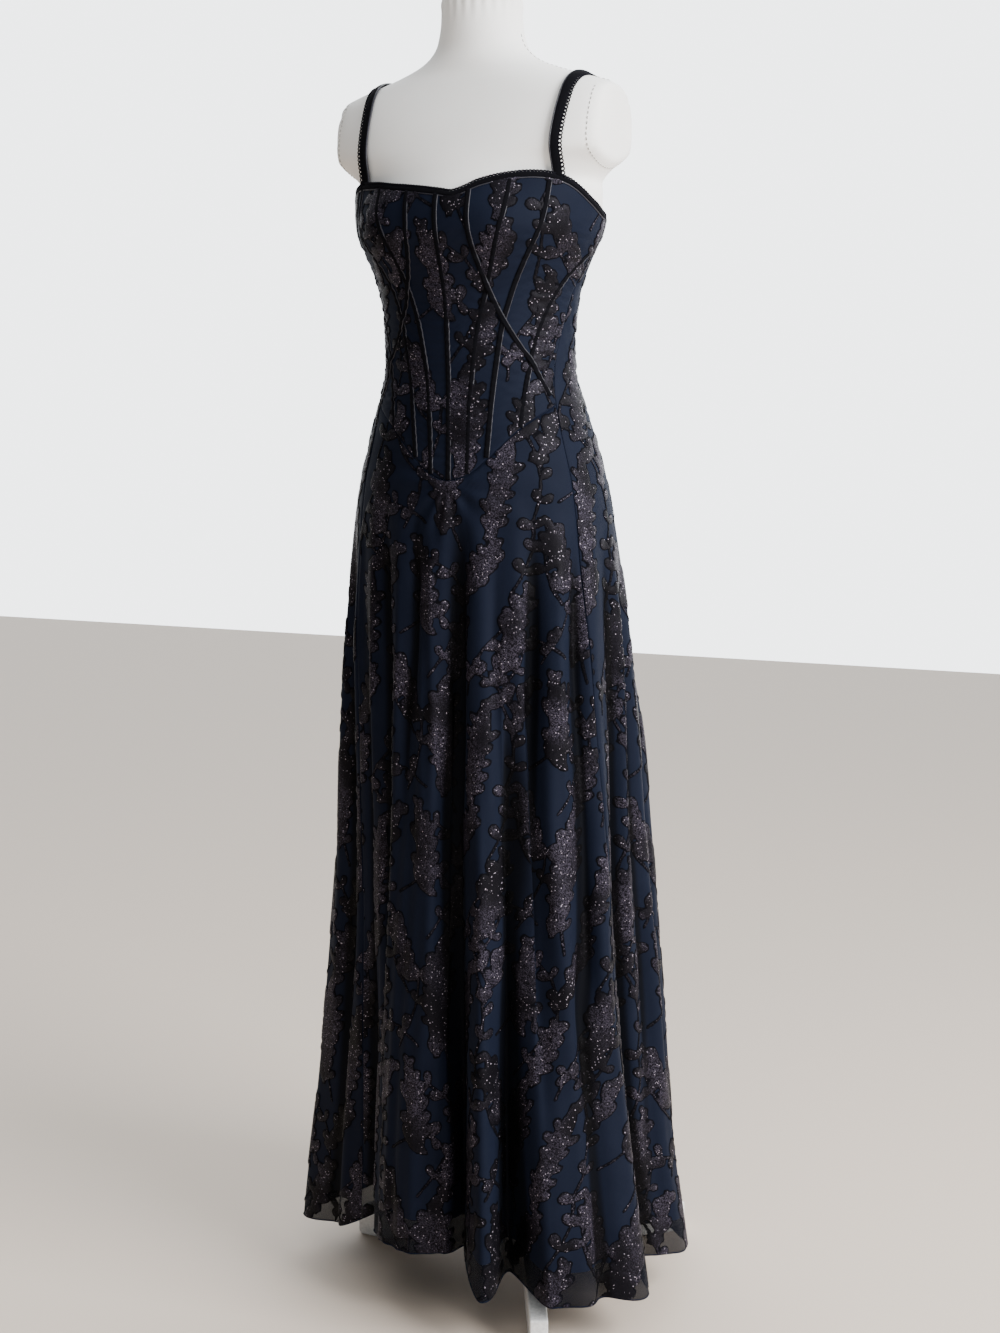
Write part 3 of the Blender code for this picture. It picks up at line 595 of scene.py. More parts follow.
# Painted shade: the form's stitches are white thread, and this grey stands in for the shade that shows them
stitch_thread_painted_shade = knit_material("form stitching", (.46, .45, .43), (.40, .39, .37), 900, .4)
white_paint = satin_material("white paint", (.80, .80, .79), .38)
zip_metal = satin_material("zip metal", (.045, .05, .085), .35, .9)
zip_tape = knit_material("zip tape", (.010, .013, .030), (.014, .018, .040), 1200, .4)

# %% [markdown]
# ## Panels of chiffon
#
# The skirt and the back of the bodice are cut in long gores, and the bodice front is its own
# piece above a pointed seam. `Panel` holds the two seams and two ends of one such piece and can
# answer two questions: where a point of the cut cloth lands on the dress, and how large the cut
# is. Lengths across are measured along the folds, so a motif keeps its size where folds grow.

# %%
class Panel:
    def __init__(self, name, low_seam, high_seam, low, high):
        self.name, self.low_seam, self.high_seam = name, low_seam, high_seam
        self.low, self.high = low, high
        self.z_low, self.z_high = .030, 1.275
        self.levels = np.arange(self.z_low, self.z_high + .004, .004)
        share = np.linspace(0, 1, 420)
        deg = self.angle(share[None], self.levels[:, None])
        points = skin(deg, np.broadcast_to(self.levels[:, None], deg.shape), COVER)
        arc = np.concatenate([np.zeros((len(deg), 1)),
                              np.cumsum(np.linalg.norm(np.diff(points, axis=1), axis=-1), axis=1)], 1)
        # The middle of the panel stays the middle of the cut at every height
        middle = arc[:, 210:211]
        self.arc, self.shares = arc - middle, share
        self.left, self.right = self.arc[:, 0], self.arc[:, -1]
        self.across = np.arange(self.left.min() - .01, self.right.max() + .012, .0015)
        self.table = np.array([np.interp(self.across, row, share) for row in self.arc])

    def angle(self, share, z):
        first, last = seam(self.low_seam, z), seam(self.high_seam, z)
        return first + (last - first) * share

    def share_at(self, u, z):
        """How far across the panel a point of the cut lies."""
        row = np.clip((z - self.z_low) / .004, 0, len(self.levels) - 1.001)
        column = np.clip((u - self.across[0]) / .0015, 0, len(self.across) - 1.001)
        i, j = row.astype(int), column.astype(int)
        s, t = row - i, column - j
        table = self.table
        return ((table[i, j] * (1 - t) + table[i, j + 1] * t) * (1 - s)
                + (table[i + 1, j] * (1 - t) + table[i + 1, j + 1] * t) * s)

    def ends(self, share):
        """The height of the panel's low and high ends at each share."""
        made = []
        for height, start in ((self.low, .06), (self.high, 1.24)):
            z = np.full(np.shape(share), start)
            for _ in range(10):
                z = height(self.angle(share, z), z)
            made.append(z)
        return made

    def grid(self, columns, rows, edge=.0004):
        """Shares and heights of a fine grid, with columns spaced by length along the folds."""
        level = self.arc[[0, len(self.levels) // 4, len(self.levels) // 2]].mean(0)
        even = np.interp(np.linspace(level[0], level[-1], columns), level, self.shares)
        low, high = self.ends(even)
        rise = np.linspace(0, 1, rows)[:, None]
        z = low + (high - low) * rise
        return np.broadcast_to(even, z.shape), z


def at_hem(deg, z):
    return hem_height(deg)


def at_binding(deg, z):
    return top_height(deg, z) - BAND_HEIGHT * .6


def at_point_seam(deg, z):
    return v_height(deg, z)


PANELS = [
    Panel("skirt_front", 3, 2, at_hem, at_point_seam),
    Panel("bodice_front", 3, 2, at_point_seam, at_binding),
    Panel("side_panel_left", 2, 4, at_hem, at_binding),
    Panel("side_panel_right", 5, 3, at_hem, at_binding),
    Panel("back_panel_left", 4, 180, at_hem, at_binding),
    Panel("back_panel_right", -180, 5, at_hem, at_binding),
]
for panel in PANELS:
    print(panel.name, "is", round(float(panel.right[0] - panel.left[0]), 3), "m across at the hem")

# %% [markdown]
# ### The cloth of each panel
#
# A thin shell with real thickness: one fine sheet, given its wall by Solidify. Below the end of
# the lining the same chiffon is seen through, so its lowest rows take the sheer finish.

# %%
CHIFFON_ROWS = {"bodice_front": 100}
CHIFFON_COLUMNS = {"skirt_front": 150, "bodice_front": 128, "side_panel_left": 56,
                   "side_panel_right": 60, "back_panel_left": 64, "back_panel_right": 68}


def chiffon_panel(panel):
    share, z = panel.grid(CHIFFON_COLUMNS[panel.name], CHIFFON_ROWS.get(panel.name, 180))
    deg = panel.angle(share, z)
    points = skin(deg, z, COVER)
    rows, columns = z.shape
    obj = mesh_from(panel.name + "_chiffon", points.reshape(-1, 3), quads(rows, columns))
    step_u = np.linalg.norm(np.diff(points, axis=1), axis=-1)
    u = np.concatenate([np.zeros((rows, 1)), np.cumsum(step_u, axis=1)], 1)
    step_v = np.linalg.norm(np.diff(points, axis=0), axis=-1)
    v = np.concatenate([np.zeros((1, columns)), np.cumsum(step_v, axis=0)], 0)
    add_uv(obj, u - u[:, columns // 2:columns // 2 + 1], v)
    # How deep in a fold each point lies, which sets the painted shade in the cloth's colour
    add_value(obj, "fold", in_fold(deg, z))
    wall = obj.modifiers.new("Chiffon wall", "SOLIDIFY")
    wall.thickness, wall.offset = CHIFFON, -1
    seat(obj, chiffon, "chiffon", panel.name)
    obj.data.materials.append(sheer)
    above = (z - hem_height(deg))[:-1, :-1].ravel()
    obj.data.polygons.foreach_set("material_index", (above < LINING_RISE).astype(np.int32))
    obj.data.update()
    return obj


chiffon_pieces = {panel.name: chiffon_panel(panel) for panel in PANELS}

# %% [markdown]
# ### The lining
#
# A plain tube of navy cloth, sewn to the skirt at the hip and free below. It ends a hand's
# breadth less than the chiffon, which is why the hem of the dress is seen through.

# %%
columns = np.concatenate([np.linspace(a, b, 9, endpoint=False) for a, b in zip(HEM[:-1, 0], HEM[1:, 0])])
low = hem_height(columns) + LINING_RISE
rise = np.linspace(0, 1, 60)[:, None]
z = low + (.930 - low) * rise
tuck = np.interp(rise[:, 0], (0, .95, 1), (-.0032, -.0032, -.0006))[:, None]
deg = np.broadcast_to(columns, z.shape)
points = skin(deg, z, tuck)
lining = mesh_from("skirt_lining_cloth", points.reshape(-1, 3), quads(*z.shape, closed=True))
around = np.linalg.norm(points - np.roll(points, -1, axis=1), axis=-1)
u = np.cumsum(around, axis=1)
add_uv(lining, u, z)
wall = lining.modifiers.new("Lining wall", "SOLIDIFY")
wall.thickness, wall.offset = .0006, -1
seat(lining, lining_cloth, "lining", "skirt_lining")
print("lining", round(float(around.sum(1).max()), 3), "m round the hem")

# %% [markdown]
# ## The woven motif
#
# The chiffon is a clipped brocade: dark thread floats on the back and is cut away round each
# leaf, which leaves a raised patch with a frayed black rim. Its drawing is worked out here from
# simple shapes, as a repeat that a weaver could set up: branches that climb at a slant, rounded
# leaflets in pairs along them, and large leafy heads between the branches.
#
# `leaf_field` answers, for any point of the cut cloth, how far it lies inside the nearest
# shape. Each head, leaflet and stem stamps only its own small window, so it stays quick.

# %%
REPEAT_WIDE, REPEAT_HIGH = 0.190, 0.290


def head(x, y, size, turn, lobes, rng):
    """A large leafy head: a long body with rounded leaflets down both sides."""
    way = np.array([math.cos(turn), math.sin(turn)])
    side = np.array([-way[1], way[0]])
    base = np.array([x, y])
    body = size * rng.uniform(.09, .135)
    shapes = [("leaf", *base, turn, size * .5, body)]
    for along in np.linspace(-.96, 1, lobes):
        half = body * math.sqrt(max(0, 1 - along ** 2)) * (1 + .28 * along)
        for s in (-1, 1):
            if rng.random() < .12:
                continue
            lean = turn + s * rng.uniform(.35, 1.15)
            long_ = rng.uniform(.0085, .0150)
            centre = base + way * along * size * .5 * rng.uniform(.9, 1.02) + side * s * half * .92
            shapes.append(("leaf", *centre, lean, long_, long_ * rng.uniform(.38, .52)))
    return shapes


def spray(x, y, turn, length, bend, rng):
    """A thin stem with leaflets in pairs, like a sprig."""
    shapes, count = [], max(2, int(length / .0230))
    points = []
    for k in range(count + 1):
        points.append((x, y))
        pace = length / count
        x, y = x + pace * math.cos(turn), y + pace * math.sin(turn)
        turn += bend / count + rng.uniform(-.16, .16)
    shapes.append(("stem", points))
    for k, (px, py) in enumerate(points[1:], 1):
        ahead = math.atan2(points[k][1] - points[k - 1][1], points[k][0] - points[k - 1][0])
        for s in (-1, 1):
            if rng.random() < .16:
                continue
            lean = ahead + s * rng.uniform(.75, 1.25)
            size = rng.uniform(.0068, .0098)
            shapes.append(("leaf", px + math.cos(lean) * size * .98, py + math.sin(lean) * size * .98,
                           lean, size, size * rng.uniform(.55, .70)))
    return shapes


def one_repeat(seed):
    """The shapes of one repeat of the cloth, in metres from its lower left corner."""
    rng = np.random.default_rng(seed)
    w, h = REPEAT_WIDE, REPEAT_HIGH
    shapes = []
    for x, y, size, turn, lobes in ((.16, .15, .112, 1.40, 8), (.70, .28, .098, 1.75, 7),
                                    (.32, .60, .104, 1.30, 7), (.84, .70, .116, 1.55, 8),
                                    (.06, .84, .076, 1.0, 6), (.54, .90, .078, 2.0, 6),
                                    (.94, .04, .064, 1.30, 5), (.44, .34, .056, 1.1, 4)):
        shapes += head(x * w, y * h, size, turn, lobes, rng)
    for x, y, turn, length, bend in ((.36, .02, 1.25, .100, .9), (.52, .10, .55, .062, -.9),
                                     (.40, .30, 2.20, .072, .8), (.94, .42, 1.95, .085, -.7),
                                     (.08, .38, 1.45, .082, -.6), (.56, .50, 1.05, .090, .7),
                                     (.62, .72, 2.35, .070, -.8), (.28, .76, 1.10, .076, .9),
                                     (.98, .18, 1.75, .070, .8), (.72, .52, 2.6, .050, .5),
                                     (.30, .40, 1.0, .050, .6), (.74, .94, .9, .056, .5)):
        shapes += spray(x * w, y * h, turn, length, bend, rng)
    return shapes


def stamp(field, u, v, spacing, shape, shift):
    """Adds one shape to the field: the distance inside it, in metres, where that is more."""
    if shape[0] == "leaf":
        _, x, y, turn, long_, wide = shape
        x, y, reach = x + shift[0], y + shift[1], long_ + .004
        span = (x - reach, x + reach, y - reach, y + reach)
    else:
        line = np.array(shape[1]) + shift
        span = (line[:, 0].min() - .006, line[:, 0].max() + .006, line[:, 1].min() - .006, line[:, 1].max() + .006)
    i0, i1 = (int(np.clip((s - u[0]) / spacing, 0, len(u))) for s in span[:2])
    j0, j1 = (int(np.clip((s - v[0]) / spacing, 0, len(v))) for s in span[2:])
    if i1 <= i0 or j1 <= j0:
        return
    x_, y_ = np.meshgrid(u[i0:i1], v[j0:j1])
    if shape[0] == "leaf":
        dx, dy = x_ - x, y_ - y
        a = dx * math.cos(turn) + dy * math.sin(turn)
        b = -dx * math.sin(turn) + dy * math.cos(turn)
        # Wider towards its tip, as these leaflets are
        wide_here = wide * (1 + .28 * np.clip(a / long_, -1, 1))
        inside = (1 - np.sqrt((a / long_) ** 2 + (b / wide_here) ** 2)) * wide
    else:
        far = np.full(x_.shape, 1.0)
        for (ax, ay), (bx, by) in zip(line, line[1:]):
            ex, ey = bx - ax, by - ay
            t = np.clip(((x_ - ax) * ex + (y_ - ay) * ey) / (ex * ex + ey * ey), 0, 1)
            far = np.minimum(far, np.hypot(x_ - ax - t * ex, y_ - ay - t * ey))
        inside = .0013 - far
    window = field[j0:j1, i0:i1]
    np.maximum(window, inside, out=window)


def leaf_field(u, v, spacing, offset):
    """The distance inside the motif at every crossing of the two rows of numbers."""
    field = np.full((len(v), len(u)), -.01)
    shapes = one_repeat(11)
    first_row = int(math.floor((v[0] - offset[1]) / REPEAT_HIGH)) - 1
    last_row = int(math.ceil((v[-1] - offset[1]) / REPEAT_HIGH)) + 1
    first = int(math.floor((u[0] - offset[0]) / REPEAT_WIDE)) - 2
    last = int(math.ceil((u[-1] - offset[0]) / REPEAT_WIDE)) + 1
    for column in range(first, last + 1):
        # Every other column is raised by half, the half drop of a woven repeat
        drop = .5 * (column % 2)
        for row in range(first_row, last_row + 1):
            shift = np.array([offset[0] + column * REPEAT_WIDE, offset[1] + (row + drop) * REPEAT_HIGH])
            for shape in shapes:
                stamp(field, u, v, spacing, shape, shift)
    field += .0006
    # The threads' edges are uneven by a fraction of a millimetre
    x_, y_ = np.meshgrid(u, v)
    field += .0004 * np.sin(1900 * x_ + 3 * np.sin(700 * y_)) * np.sin(1700 * y_ + 2 * np.sin(900 * x_))
    return field


# %% [markdown]
# ### From the drawing to raised cloth
#
# The drawing is cut out on a fine lattice of triangles: a triangle wholly inside is kept, and
# one that the outline crosses is cut where the distance passes nought. The same is done along
# the seams and the hem, as scissors would.

# %%
def cut_out(field, u, v):
    """Points (u, v), triangles and the field's value at each point, where the field is above 0."""
    rows, columns = field.shape
    values = field.ravel().copy()
    small = np.abs(values) < 1e-4
    values[small] = np.where(values[small] < 0, -1e-4, 1e-4)
    quad = quads(rows, columns)
    i, j = quad[:, 0] // columns, quad[:, 0] % columns
    flip = ((i + j) % 2).astype(bool)
    a, b, c, d = quad.T
    triangles = np.concatenate([
        np.stack([a, b, c], -1)[~flip], np.stack([a, c, d], -1)[~flip],
        np.stack([a, b, d], -1)[flip], np.stack([b, c, d], -1)[flip]])
    inside = values[triangles] > 0
    count = inside.sum(1)
    whole = triangles[count == 3]
    pairs, pieces = [], [("whole", whole)]
    for number in (1, 2):
        some = triangles[count == number]
        flag = inside[count == number]
        lone = np.argmax(flag if number == 1 else ~flag, axis=1)
        rows_ = np.arange(len(some))
        p = some[rows_, lone]
        q = some[rows_, (lone + 1) % 3]
        r = some[rows_, (lone + 2) % 3]
        pieces.append((number, p, q, r))
        pairs += [np.stack([p, q], -1), np.stack([p, r], -1)]
    ends = np.sort(np.concatenate(pairs), axis=1)
    edges, index = np.unique(ends, axis=0, return_inverse=True)
    index = index.reshape(-1)
    total = rows * columns
    sizes = [len(pieces[1][1]), len(pieces[1][1]), len(pieces[2][1]), len(pieces[2][1])]
    parts = np.split(index + total, np.cumsum(sizes)[:-1])
    _, p1, q1, r1 = pieces[1]
    _, p2, q2, r2 = pieces[2]
    faces = np.concatenate([
        whole, np.stack([p1, parts[0], parts[1]], -1),
        np.stack([parts[2], q2, r2], -1), np.stack([parts[2], r2, parts[3]], -1)])
    share = values[edges[:, 0]] / (values[edges[:, 0]] - values[edges[:, 1]])
    uu, vv = np.meshgrid(u, v)
    flat = np.stack([uu.ravel(), vv.ravel()], -1)
    cut = flat[edges[:, 0]] * (1 - share[:, None]) + flat[edges[:, 1]] * share[:, None]
    points = np.concatenate([flat, cut])
    used, again = np.unique(faces, return_inverse=True)
    return points[used], again.reshape(-1, 3), used


MOTIF_SPACING = 0.0024
MOTIF_RISE = 0.0009
MOTIF_OFFSET = {"skirt_front": (.03, .02), "bodice_front": (.05, .07), "side_panel_left": (.11, .14),
                "side_panel_right": (.07, .22), "back_panel_left": (.02, .09), "back_panel_right": (.15, .17)}


def motif_on(panel):
    spacing = MOTIF_SPACING
    low = .035 if panel.name != "bodice_front" else .935
    high = 1.03 if panel.name == "skirt_front" else 1.272
    u = np.arange(panel.left.min(), panel.right.max() + spacing, spacing)
    v = np.arange(low, high, spacing)
    drawn = leaf_field(u, v, spacing, MOTIF_OFFSET[panel.name])
    # How far inside the panel each point lies, so that the motif ends at its seams
    uu, vv = np.meshgrid(u, v)
    left = np.interp(v, panel.levels, panel.left)[:, None]
    right = np.interp(v, panel.levels, panel.right)[:, None]
    share = panel.share_at(uu, vv)
    deg = panel.angle(share, vv)
    room = np.minimum(uu - left, right - uu) - .0008
    room = np.minimum(room, vv - panel.low(deg, vv) - .0015)
    room = np.minimum(room, panel.high(deg, vv) - vv - .0008)
    flat, faces, used = cut_out(np.minimum(drawn, room), u, v)
    drawn_at = drawn_value(drawn, u, v, flat)
    share = panel.share_at(flat[:, 0], flat[:, 1])
    deg = panel.angle(share, flat[:, 1])
    lift = .00030 + MOTIF_RISE * step(-.0002, .0022, drawn_at)
    lift += .00025 * np.sin(950 * flat[:, 0]) * np.sin(1100 * flat[:, 1]) * step(.0005, .003, drawn_at)
    points = skin(deg, flat[:, 1], COVER + lift)
    obj = mesh_from(panel.name + "_motif", points, faces)
    add_value(obj, "inside", drawn_at * 1000)
    # How deep in a fold each point lies, which sets the painted shade in the motif's colour
    add_value(obj, "fold", in_fold(deg, flat[:, 1]))
    seat(obj, motif_thread, "chiffon")
    covered = len(faces) * spacing ** 2 / 2
    print(f"{obj.name}: {len(faces)} triangles, about {covered:.3f} m2")
    return obj


def drawn_value(field, u, v, flat):
    """The field between its lattice points."""
    x = np.clip((flat[:, 0] - u[0]) / (u[1] - u[0]), 0, len(u) - 1.001)
    y = np.clip((flat[:, 1] - v[0]) / (v[1] - v[0]), 0, len(v) - 1.001)
    i, j = x.astype(int), y.astype(int)
    s, t = x - i, y - j
    return ((field[j, i] * (1 - s) + field[j, i + 1] * s) * (1 - t)
            + (field[j + 1, i] * (1 - s) + field[j + 1, i + 1] * s) * t)


motif_pieces = [motif_on(panel) for panel in PANELS]

# %% [markdown]
# ## Rolled hem
#
# Chiffon is hemmed by rolling its edge over and stitching it, which leaves a thin dark cord.

# %%
columns = np.concatenate([np.linspace(a, b, 22, endpoint=False) for a, b in zip(HEM[:-1, 0], HEM[1:, 0])])
edge = skin(columns, hem_height(columns) + .0008, COVER - .0002)
turn = np.linspace(0, 2 * np.pi, 6, endpoint=False)
out = way_out(columns, hem_height(columns) + .0008)
rings = edge[:, None] + .0009 * (np.cos(turn)[None, :, None] * out[:, None]
                                 + np.sin(turn)[None, :, None] * np.array([0, 0, 1.0]))
i = np.arange(len(columns))[:, None] * 6
j = np.arange(6)[None]
nxt = (i + 6) % (6 * len(columns))
faces = np.stack(np.broadcast_arrays(i + j, nxt + j, nxt + (j + 1) % 6, i + (j + 1) % 6), -1).reshape(-1, 4)
rolled_hem = seat(mesh_from("rolled_hem", rings.reshape(-1, 3), faces), chiffon, "chiffon")
uv = rolled_hem.data.uv_layers.new(name="cloth")

# %% [markdown]
# ## Velvet ribbons
#
# The bones of the bodice sit in channels covered by narrow velvet ribbon with a satin edge. Each
# ribbon follows its line over the cloth, and the crossing one climbs over the three it meets.

# %%
def ribbon_line(table, side, count=150):
    table = np.array(table, float)
    at = np.arange(len(table))
    fine = np.linspace(0, len(table) - 1, 500)
    rel, z = through(fine, at, table[:, 0]), through(fine, at, table[:, 1])
    deg = centre_line(z) + side * rel
    keep = (z < top_height(deg, z) - BAND_HEIGHT * .8) & (z > v_height(deg, z) + .0004)
    deg, z = deg[keep], z[keep]
    points = skin(deg, z, creased=False)
    length = np.concatenate([[0], np.cumsum(np.linalg.norm(np.diff(points, axis=0), axis=1))])
    even = np.linspace(0, length[-1], count)
    return np.interp(even, length, deg), np.interp(even, length, z)


VELVET_PROFILE = ((-.0028, .0001), (-.0028, .0008), (-.0024, .0012), (-.0012, .00145), (0, .0015),
                  (.0012, .00145), (.0019, .0012), (.0022, .0008), (.0022, .0001))
SATIN_PROFILE = ((.0021, .0001), (.0021, .0007), (.0026, .0010), (.0031, .0008), (.0032, .0001))


def ribbon(name, table, side=1, over=(), replaced=()):
    deg, z = ribbon_line(table, side)
    middle = skin(deg, z, COVER)
    out = way_out(deg, z)
    tangent = np.gradient(middle, axis=0)
    tangent /= np.linalg.norm(tangent, axis=-1)[:, None]
    across = np.cross(out, tangent)
    across /= np.linalg.norm(across, axis=-1)[:, None]
    # The satin edge is on the wearer's left of every ribbon
    if (across[len(across) // 2] * [1, 0, 0]).sum() < 0:
        across = -across
    raised = np.zeros(len(middle))
    for other in over:
        line = skin(*ribbon_line(other, side), COVER)
        crossing = middle[np.linalg.norm(middle[:, None] - line[None], axis=-1).min(1).argmin()]
        far = np.linalg.norm(middle - crossing, axis=-1)
        raised = np.maximum(raised, CROSS_RISE * (1 - step(.004, .012, far)))
    made = []
    for part, profile, finish in (("", VELVET_PROFILE, velvet), ("_satin", SATIN_PROFILE, satin)):
        profile = np.array(profile)
        turn = across[:, 0] * np.cos(np.radians(deg)) + across[:, 1] * np.sin(np.radians(deg))
        sides = []
        for w, h in profile:
            d = deg + np.degrees(w * turn / cloth_radius(deg, z))
            up = z + w * across[:, 2]
            # The crossing ribbon's wall stands free of the cloth where it is raised
            sides.append(skin(d, up, COVER) + out * (h + raised)[:, None])
        rings = np.stack(sides, 1)
        count, number = rings.shape[:2]
        obj = mesh_from(name + part, rings.reshape(-1, 3), quads(count, number, closed=True))
        shut = bmesh.new()
        shut.from_mesh(obj.data)
        shut.verts.ensure_lookup_table()
        shut.faces.new([shut.verts[k] for k in range(number)])
        shut.faces.new([shut.verts[(count - 1) * number + k] for k in range(number)])
        bmesh.ops.recalc_face_normals(shut, faces=shut.faces)
        shut.to_mesh(obj.data)
        shut.free()
        made.append(seat(obj, finish, "velvet", *(replaced if not part else ())))
    return made


ribbon("velvet_centre", ((0.2, 1.262), (0, 1.2), (0, 1.1), (0, 1.0), (0, .93)), replaced=("ribbon_centre",))
for side, word in ((1, "left"), (-1, "right")):
    for key in ("inner", "middle", "outer"):
        ribbon(f"velvet_{key}_{word}", RIBBONS[key], side, replaced=(f"ribbon_{key}_{word}",))
    ribbon(f"velvet_crossing_{word}", RIBBONS["crossing"], side,
           over=(RIBBONS["inner"], RIBBONS["middle"], RIBBONS["outer"]), replaced=(f"ribbon_crossing_{word}",))
print("ribbons done")

# %% [markdown]
# ## Neckline
#
# The top edge is bound with a strip of velvet, with a satin line below it, and edged with small
# thread loops. One path round the top serves all three.

# %%
def top_path(count=900):
    """Angle and height of the top edge, evenly spaced by length, from the centre back round."""
    deg = np.linspace(-179.88, 179.88, 1500)
    z = np.full(len(deg), 1.24)
    for _ in range(10):
        z = top_height(deg, z)
    points = skin(deg, z, creased=False)
    length = np.concatenate([[0], np.cumsum(np.linalg.norm(np.diff(points, axis=0), axis=1))])
    even = np.linspace(0, length[-1], count)
    return np.interp(even, length, deg), np.interp(even, length, z), length[-1]


top_deg, top_z, top_length = top_path()


def along_top(name, profile, finish, slot, *replaced):
    """A strip round the top edge. profile is (height above the edge, distance out), in order."""
    sides = [skin(top_deg, top_z + up, out) for up, out in profile]
    rings = np.stack(sides, 1)
    count, number = rings.shape[:2]
    obj = mesh_from(name, rings.reshape(-1, 3), quads(count, number, closed=True))
    shut = bmesh.new()
    shut.from_mesh(obj.data)
    shut.verts.ensure_lookup_table()
    shut.faces.new([shut.verts[k] for k in range(number)])
    shut.faces.new([shut.verts[(count - 1) * number + k] for k in range(number)])
    bmesh.ops.recalc_face_normals(shut, faces=shut.faces)
    shut.to_mesh(obj.data)
    shut.free()
    return seat(obj, finish, slot, *replaced)


along_top("velvet_binding", ((-.0050, .0012), (-.0050, .0021), (-.0044, .0026), (-.0025, .0029), (-.0008, .0026),
                             (0, .0019), (.0002, .0008), (-.0004, -.0003), (-.0050, -.0003)),
          velvet, "velvet", "neckline_binding")
along_top("satin_line", ((-.0062, .0014), (-.0062, .0019), (-.0056, .0023), (-.0050, .0021), (-.0050, .0014)),
          satin, "velvet")

# %% [markdown]
# ### Picot loops
#
# A picot edge is one small loop of thread after another. Only one loop is modelled. A Geometry
# Nodes group sets it along a path: it resamples the path to the pitch of the loops, turns each
# copy to the path, and realises them.

# %%
def picot_group():
    group = bpy.data.node_groups.new("Loops along a path", "GeometryNodeTree")
    face = group.interface
    face.new_socket("Path", in_out="INPUT", socket_type="NodeSocketGeometry")
    for label, kind in (("Pitch", "NodeSocketFloat"), ("Loop", "NodeSocketObject"), ("Finish", "NodeSocketMaterial")):
        face.new_socket(label, in_out="INPUT", socket_type=kind)
    face.new_socket("Loops", in_out="OUTPUT", socket_type="NodeSocketGeometry")
    nodes, links = group.nodes, group.links
    given, made = nodes.new("NodeGroupInput"), nodes.new("NodeGroupOutput")
    curve = nodes.new("GeometryNodeMeshToCurve")
    links.new(given.outputs["Path"], curve.inputs["Mesh"])
    spaced = node(nodes, "GeometryNodeResampleCurve", mode="LENGTH")
    links.new(curve.outputs["Curve"], spaced.inputs["Curve"])
    links.new(given.outputs["Pitch"], spaced.inputs["Length"])
    loop = node(nodes, "GeometryNodeObjectInfo")
    links.new(given.outputs["Loop"], loop.inputs["Object"])
    # The path carries the way up of each loop, and its own direction gives the other axis
    up = node(nodes, "GeometryNodeInputNamedAttribute", data_type="FLOAT_VECTOR")
    up.inputs["Name"].default_value = "loop_up"
    ahead = nodes.new("GeometryNodeInputTangent")
    first = node(nodes, "FunctionNodeAlignRotationToVector", axis="X")
    links.new(ahead.outputs[0], first.inputs["Vector"])
    second = node(nodes, "FunctionNodeAlignRotationToVector", axis="Z", pivot_axis="X")
    links.new(first.outputs[0], second.inputs["Rotation"])
    links.new(up.outputs["Attribute"], second.inputs["Vector"])
    copies = nodes.new("GeometryNodeInstanceOnPoints")
    links.new(spaced.outputs["Curve"], copies.inputs["Points"])
    links.new(loop.outputs["Geometry"], copies.inputs["Instance"])
    links.new(second.outputs[0], copies.inputs["Rotation"])
    real = nodes.new("GeometryNodeRealizeInstances")
    links.new(copies.outputs["Instances"], real.inputs[0])
    finish = nodes.new("GeometryNodeSetMaterial")
    links.new(real.outputs[0], finish.inputs["Geometry"])
    links.new(given.outputs["Finish"], finish.inputs["Material"])
    links.new(finish.outputs[0], made.inputs["Loops"])
    return group


def one_shape(name, points, faces):
    """A shape about its own origin, used only as the pattern of the copies."""
    mesh = bpy.data.meshes.new(name)
    mesh.from_pydata([tuple(p) for p in points], [], [tuple(int(k) for k in f) for f in faces])
    mesh.shade_smooth()
    obj = bpy.data.objects.new(name, mesh)
    return obj


def thread_loop(width, height, thick, sides=5, around=10):
    """A closed loop of thread standing on its base, wider than it is high."""
    points, faces = [], []
    for k in range(around):
        q = 2 * math.pi * k / around
        cx, cz = width / 2 * math.cos(q), height / 2 + height / 2 * math.sin(q)
        ox, oz = math.cos(q), math.sin(q)
        for m in range(sides):
            p = 2 * math.pi * m / sides
            points.append((cx + ox * thick * math.cos(p), thick * math.sin(p), cz + oz * thick * math.cos(p)))
    for k in range(around):
        for m in range(sides):
            a, b = k * sides + m, k * sides + (m + 1) % sides
            c, d = ((k + 1) % around) * sides + (m + 1) % sides, ((k + 1) % around) * sides + m
            faces.append((a, b, c, d))
    return one_shape("one thread loop", points, faces)


LOOPS = picot_group()


def repeat_along(name, path, up, pitch, shape, finish, slot, *replaced):
    """Copies of one shape along a path, as a plain mesh."""
    mesh = bpy.data.meshes.new(name)
    mesh.from_pydata([tuple(p) for p in path + AXIS], [(k, k + 1) for k in range(len(path) - 1)], [])
    attribute = mesh.attributes.new("loop_up", "FLOAT_VECTOR", "POINT")
    attribute.data.foreach_set("vector", np.asarray(up, np.float32).ravel())
    obj = bpy.data.objects.new(name, mesh)
    bpy.context.scene.collection.objects.link(obj)
    rule = obj.modifiers.new("Copies", "NODES")
    rule.node_group = LOOPS
    inputs = {item.name: item.identifier for item in LOOPS.interface.items_tree if item.in_out == "INPUT"}
    rule[inputs["Pitch"]], rule[inputs["Loop"]], rule[inputs["Finish"]] = pitch, shape, finish
    bpy.context.view_layer.update()
    made = bpy.data.meshes.new_from_object(obj.evaluated_get(bpy.context.evaluated_depsgraph_get()))
    obj.modifiers.clear()
    obj.data = made
    made.name = name
    print(name, len(made.polygons), "faces")
    return seat(obj, finish, slot, *replaced)


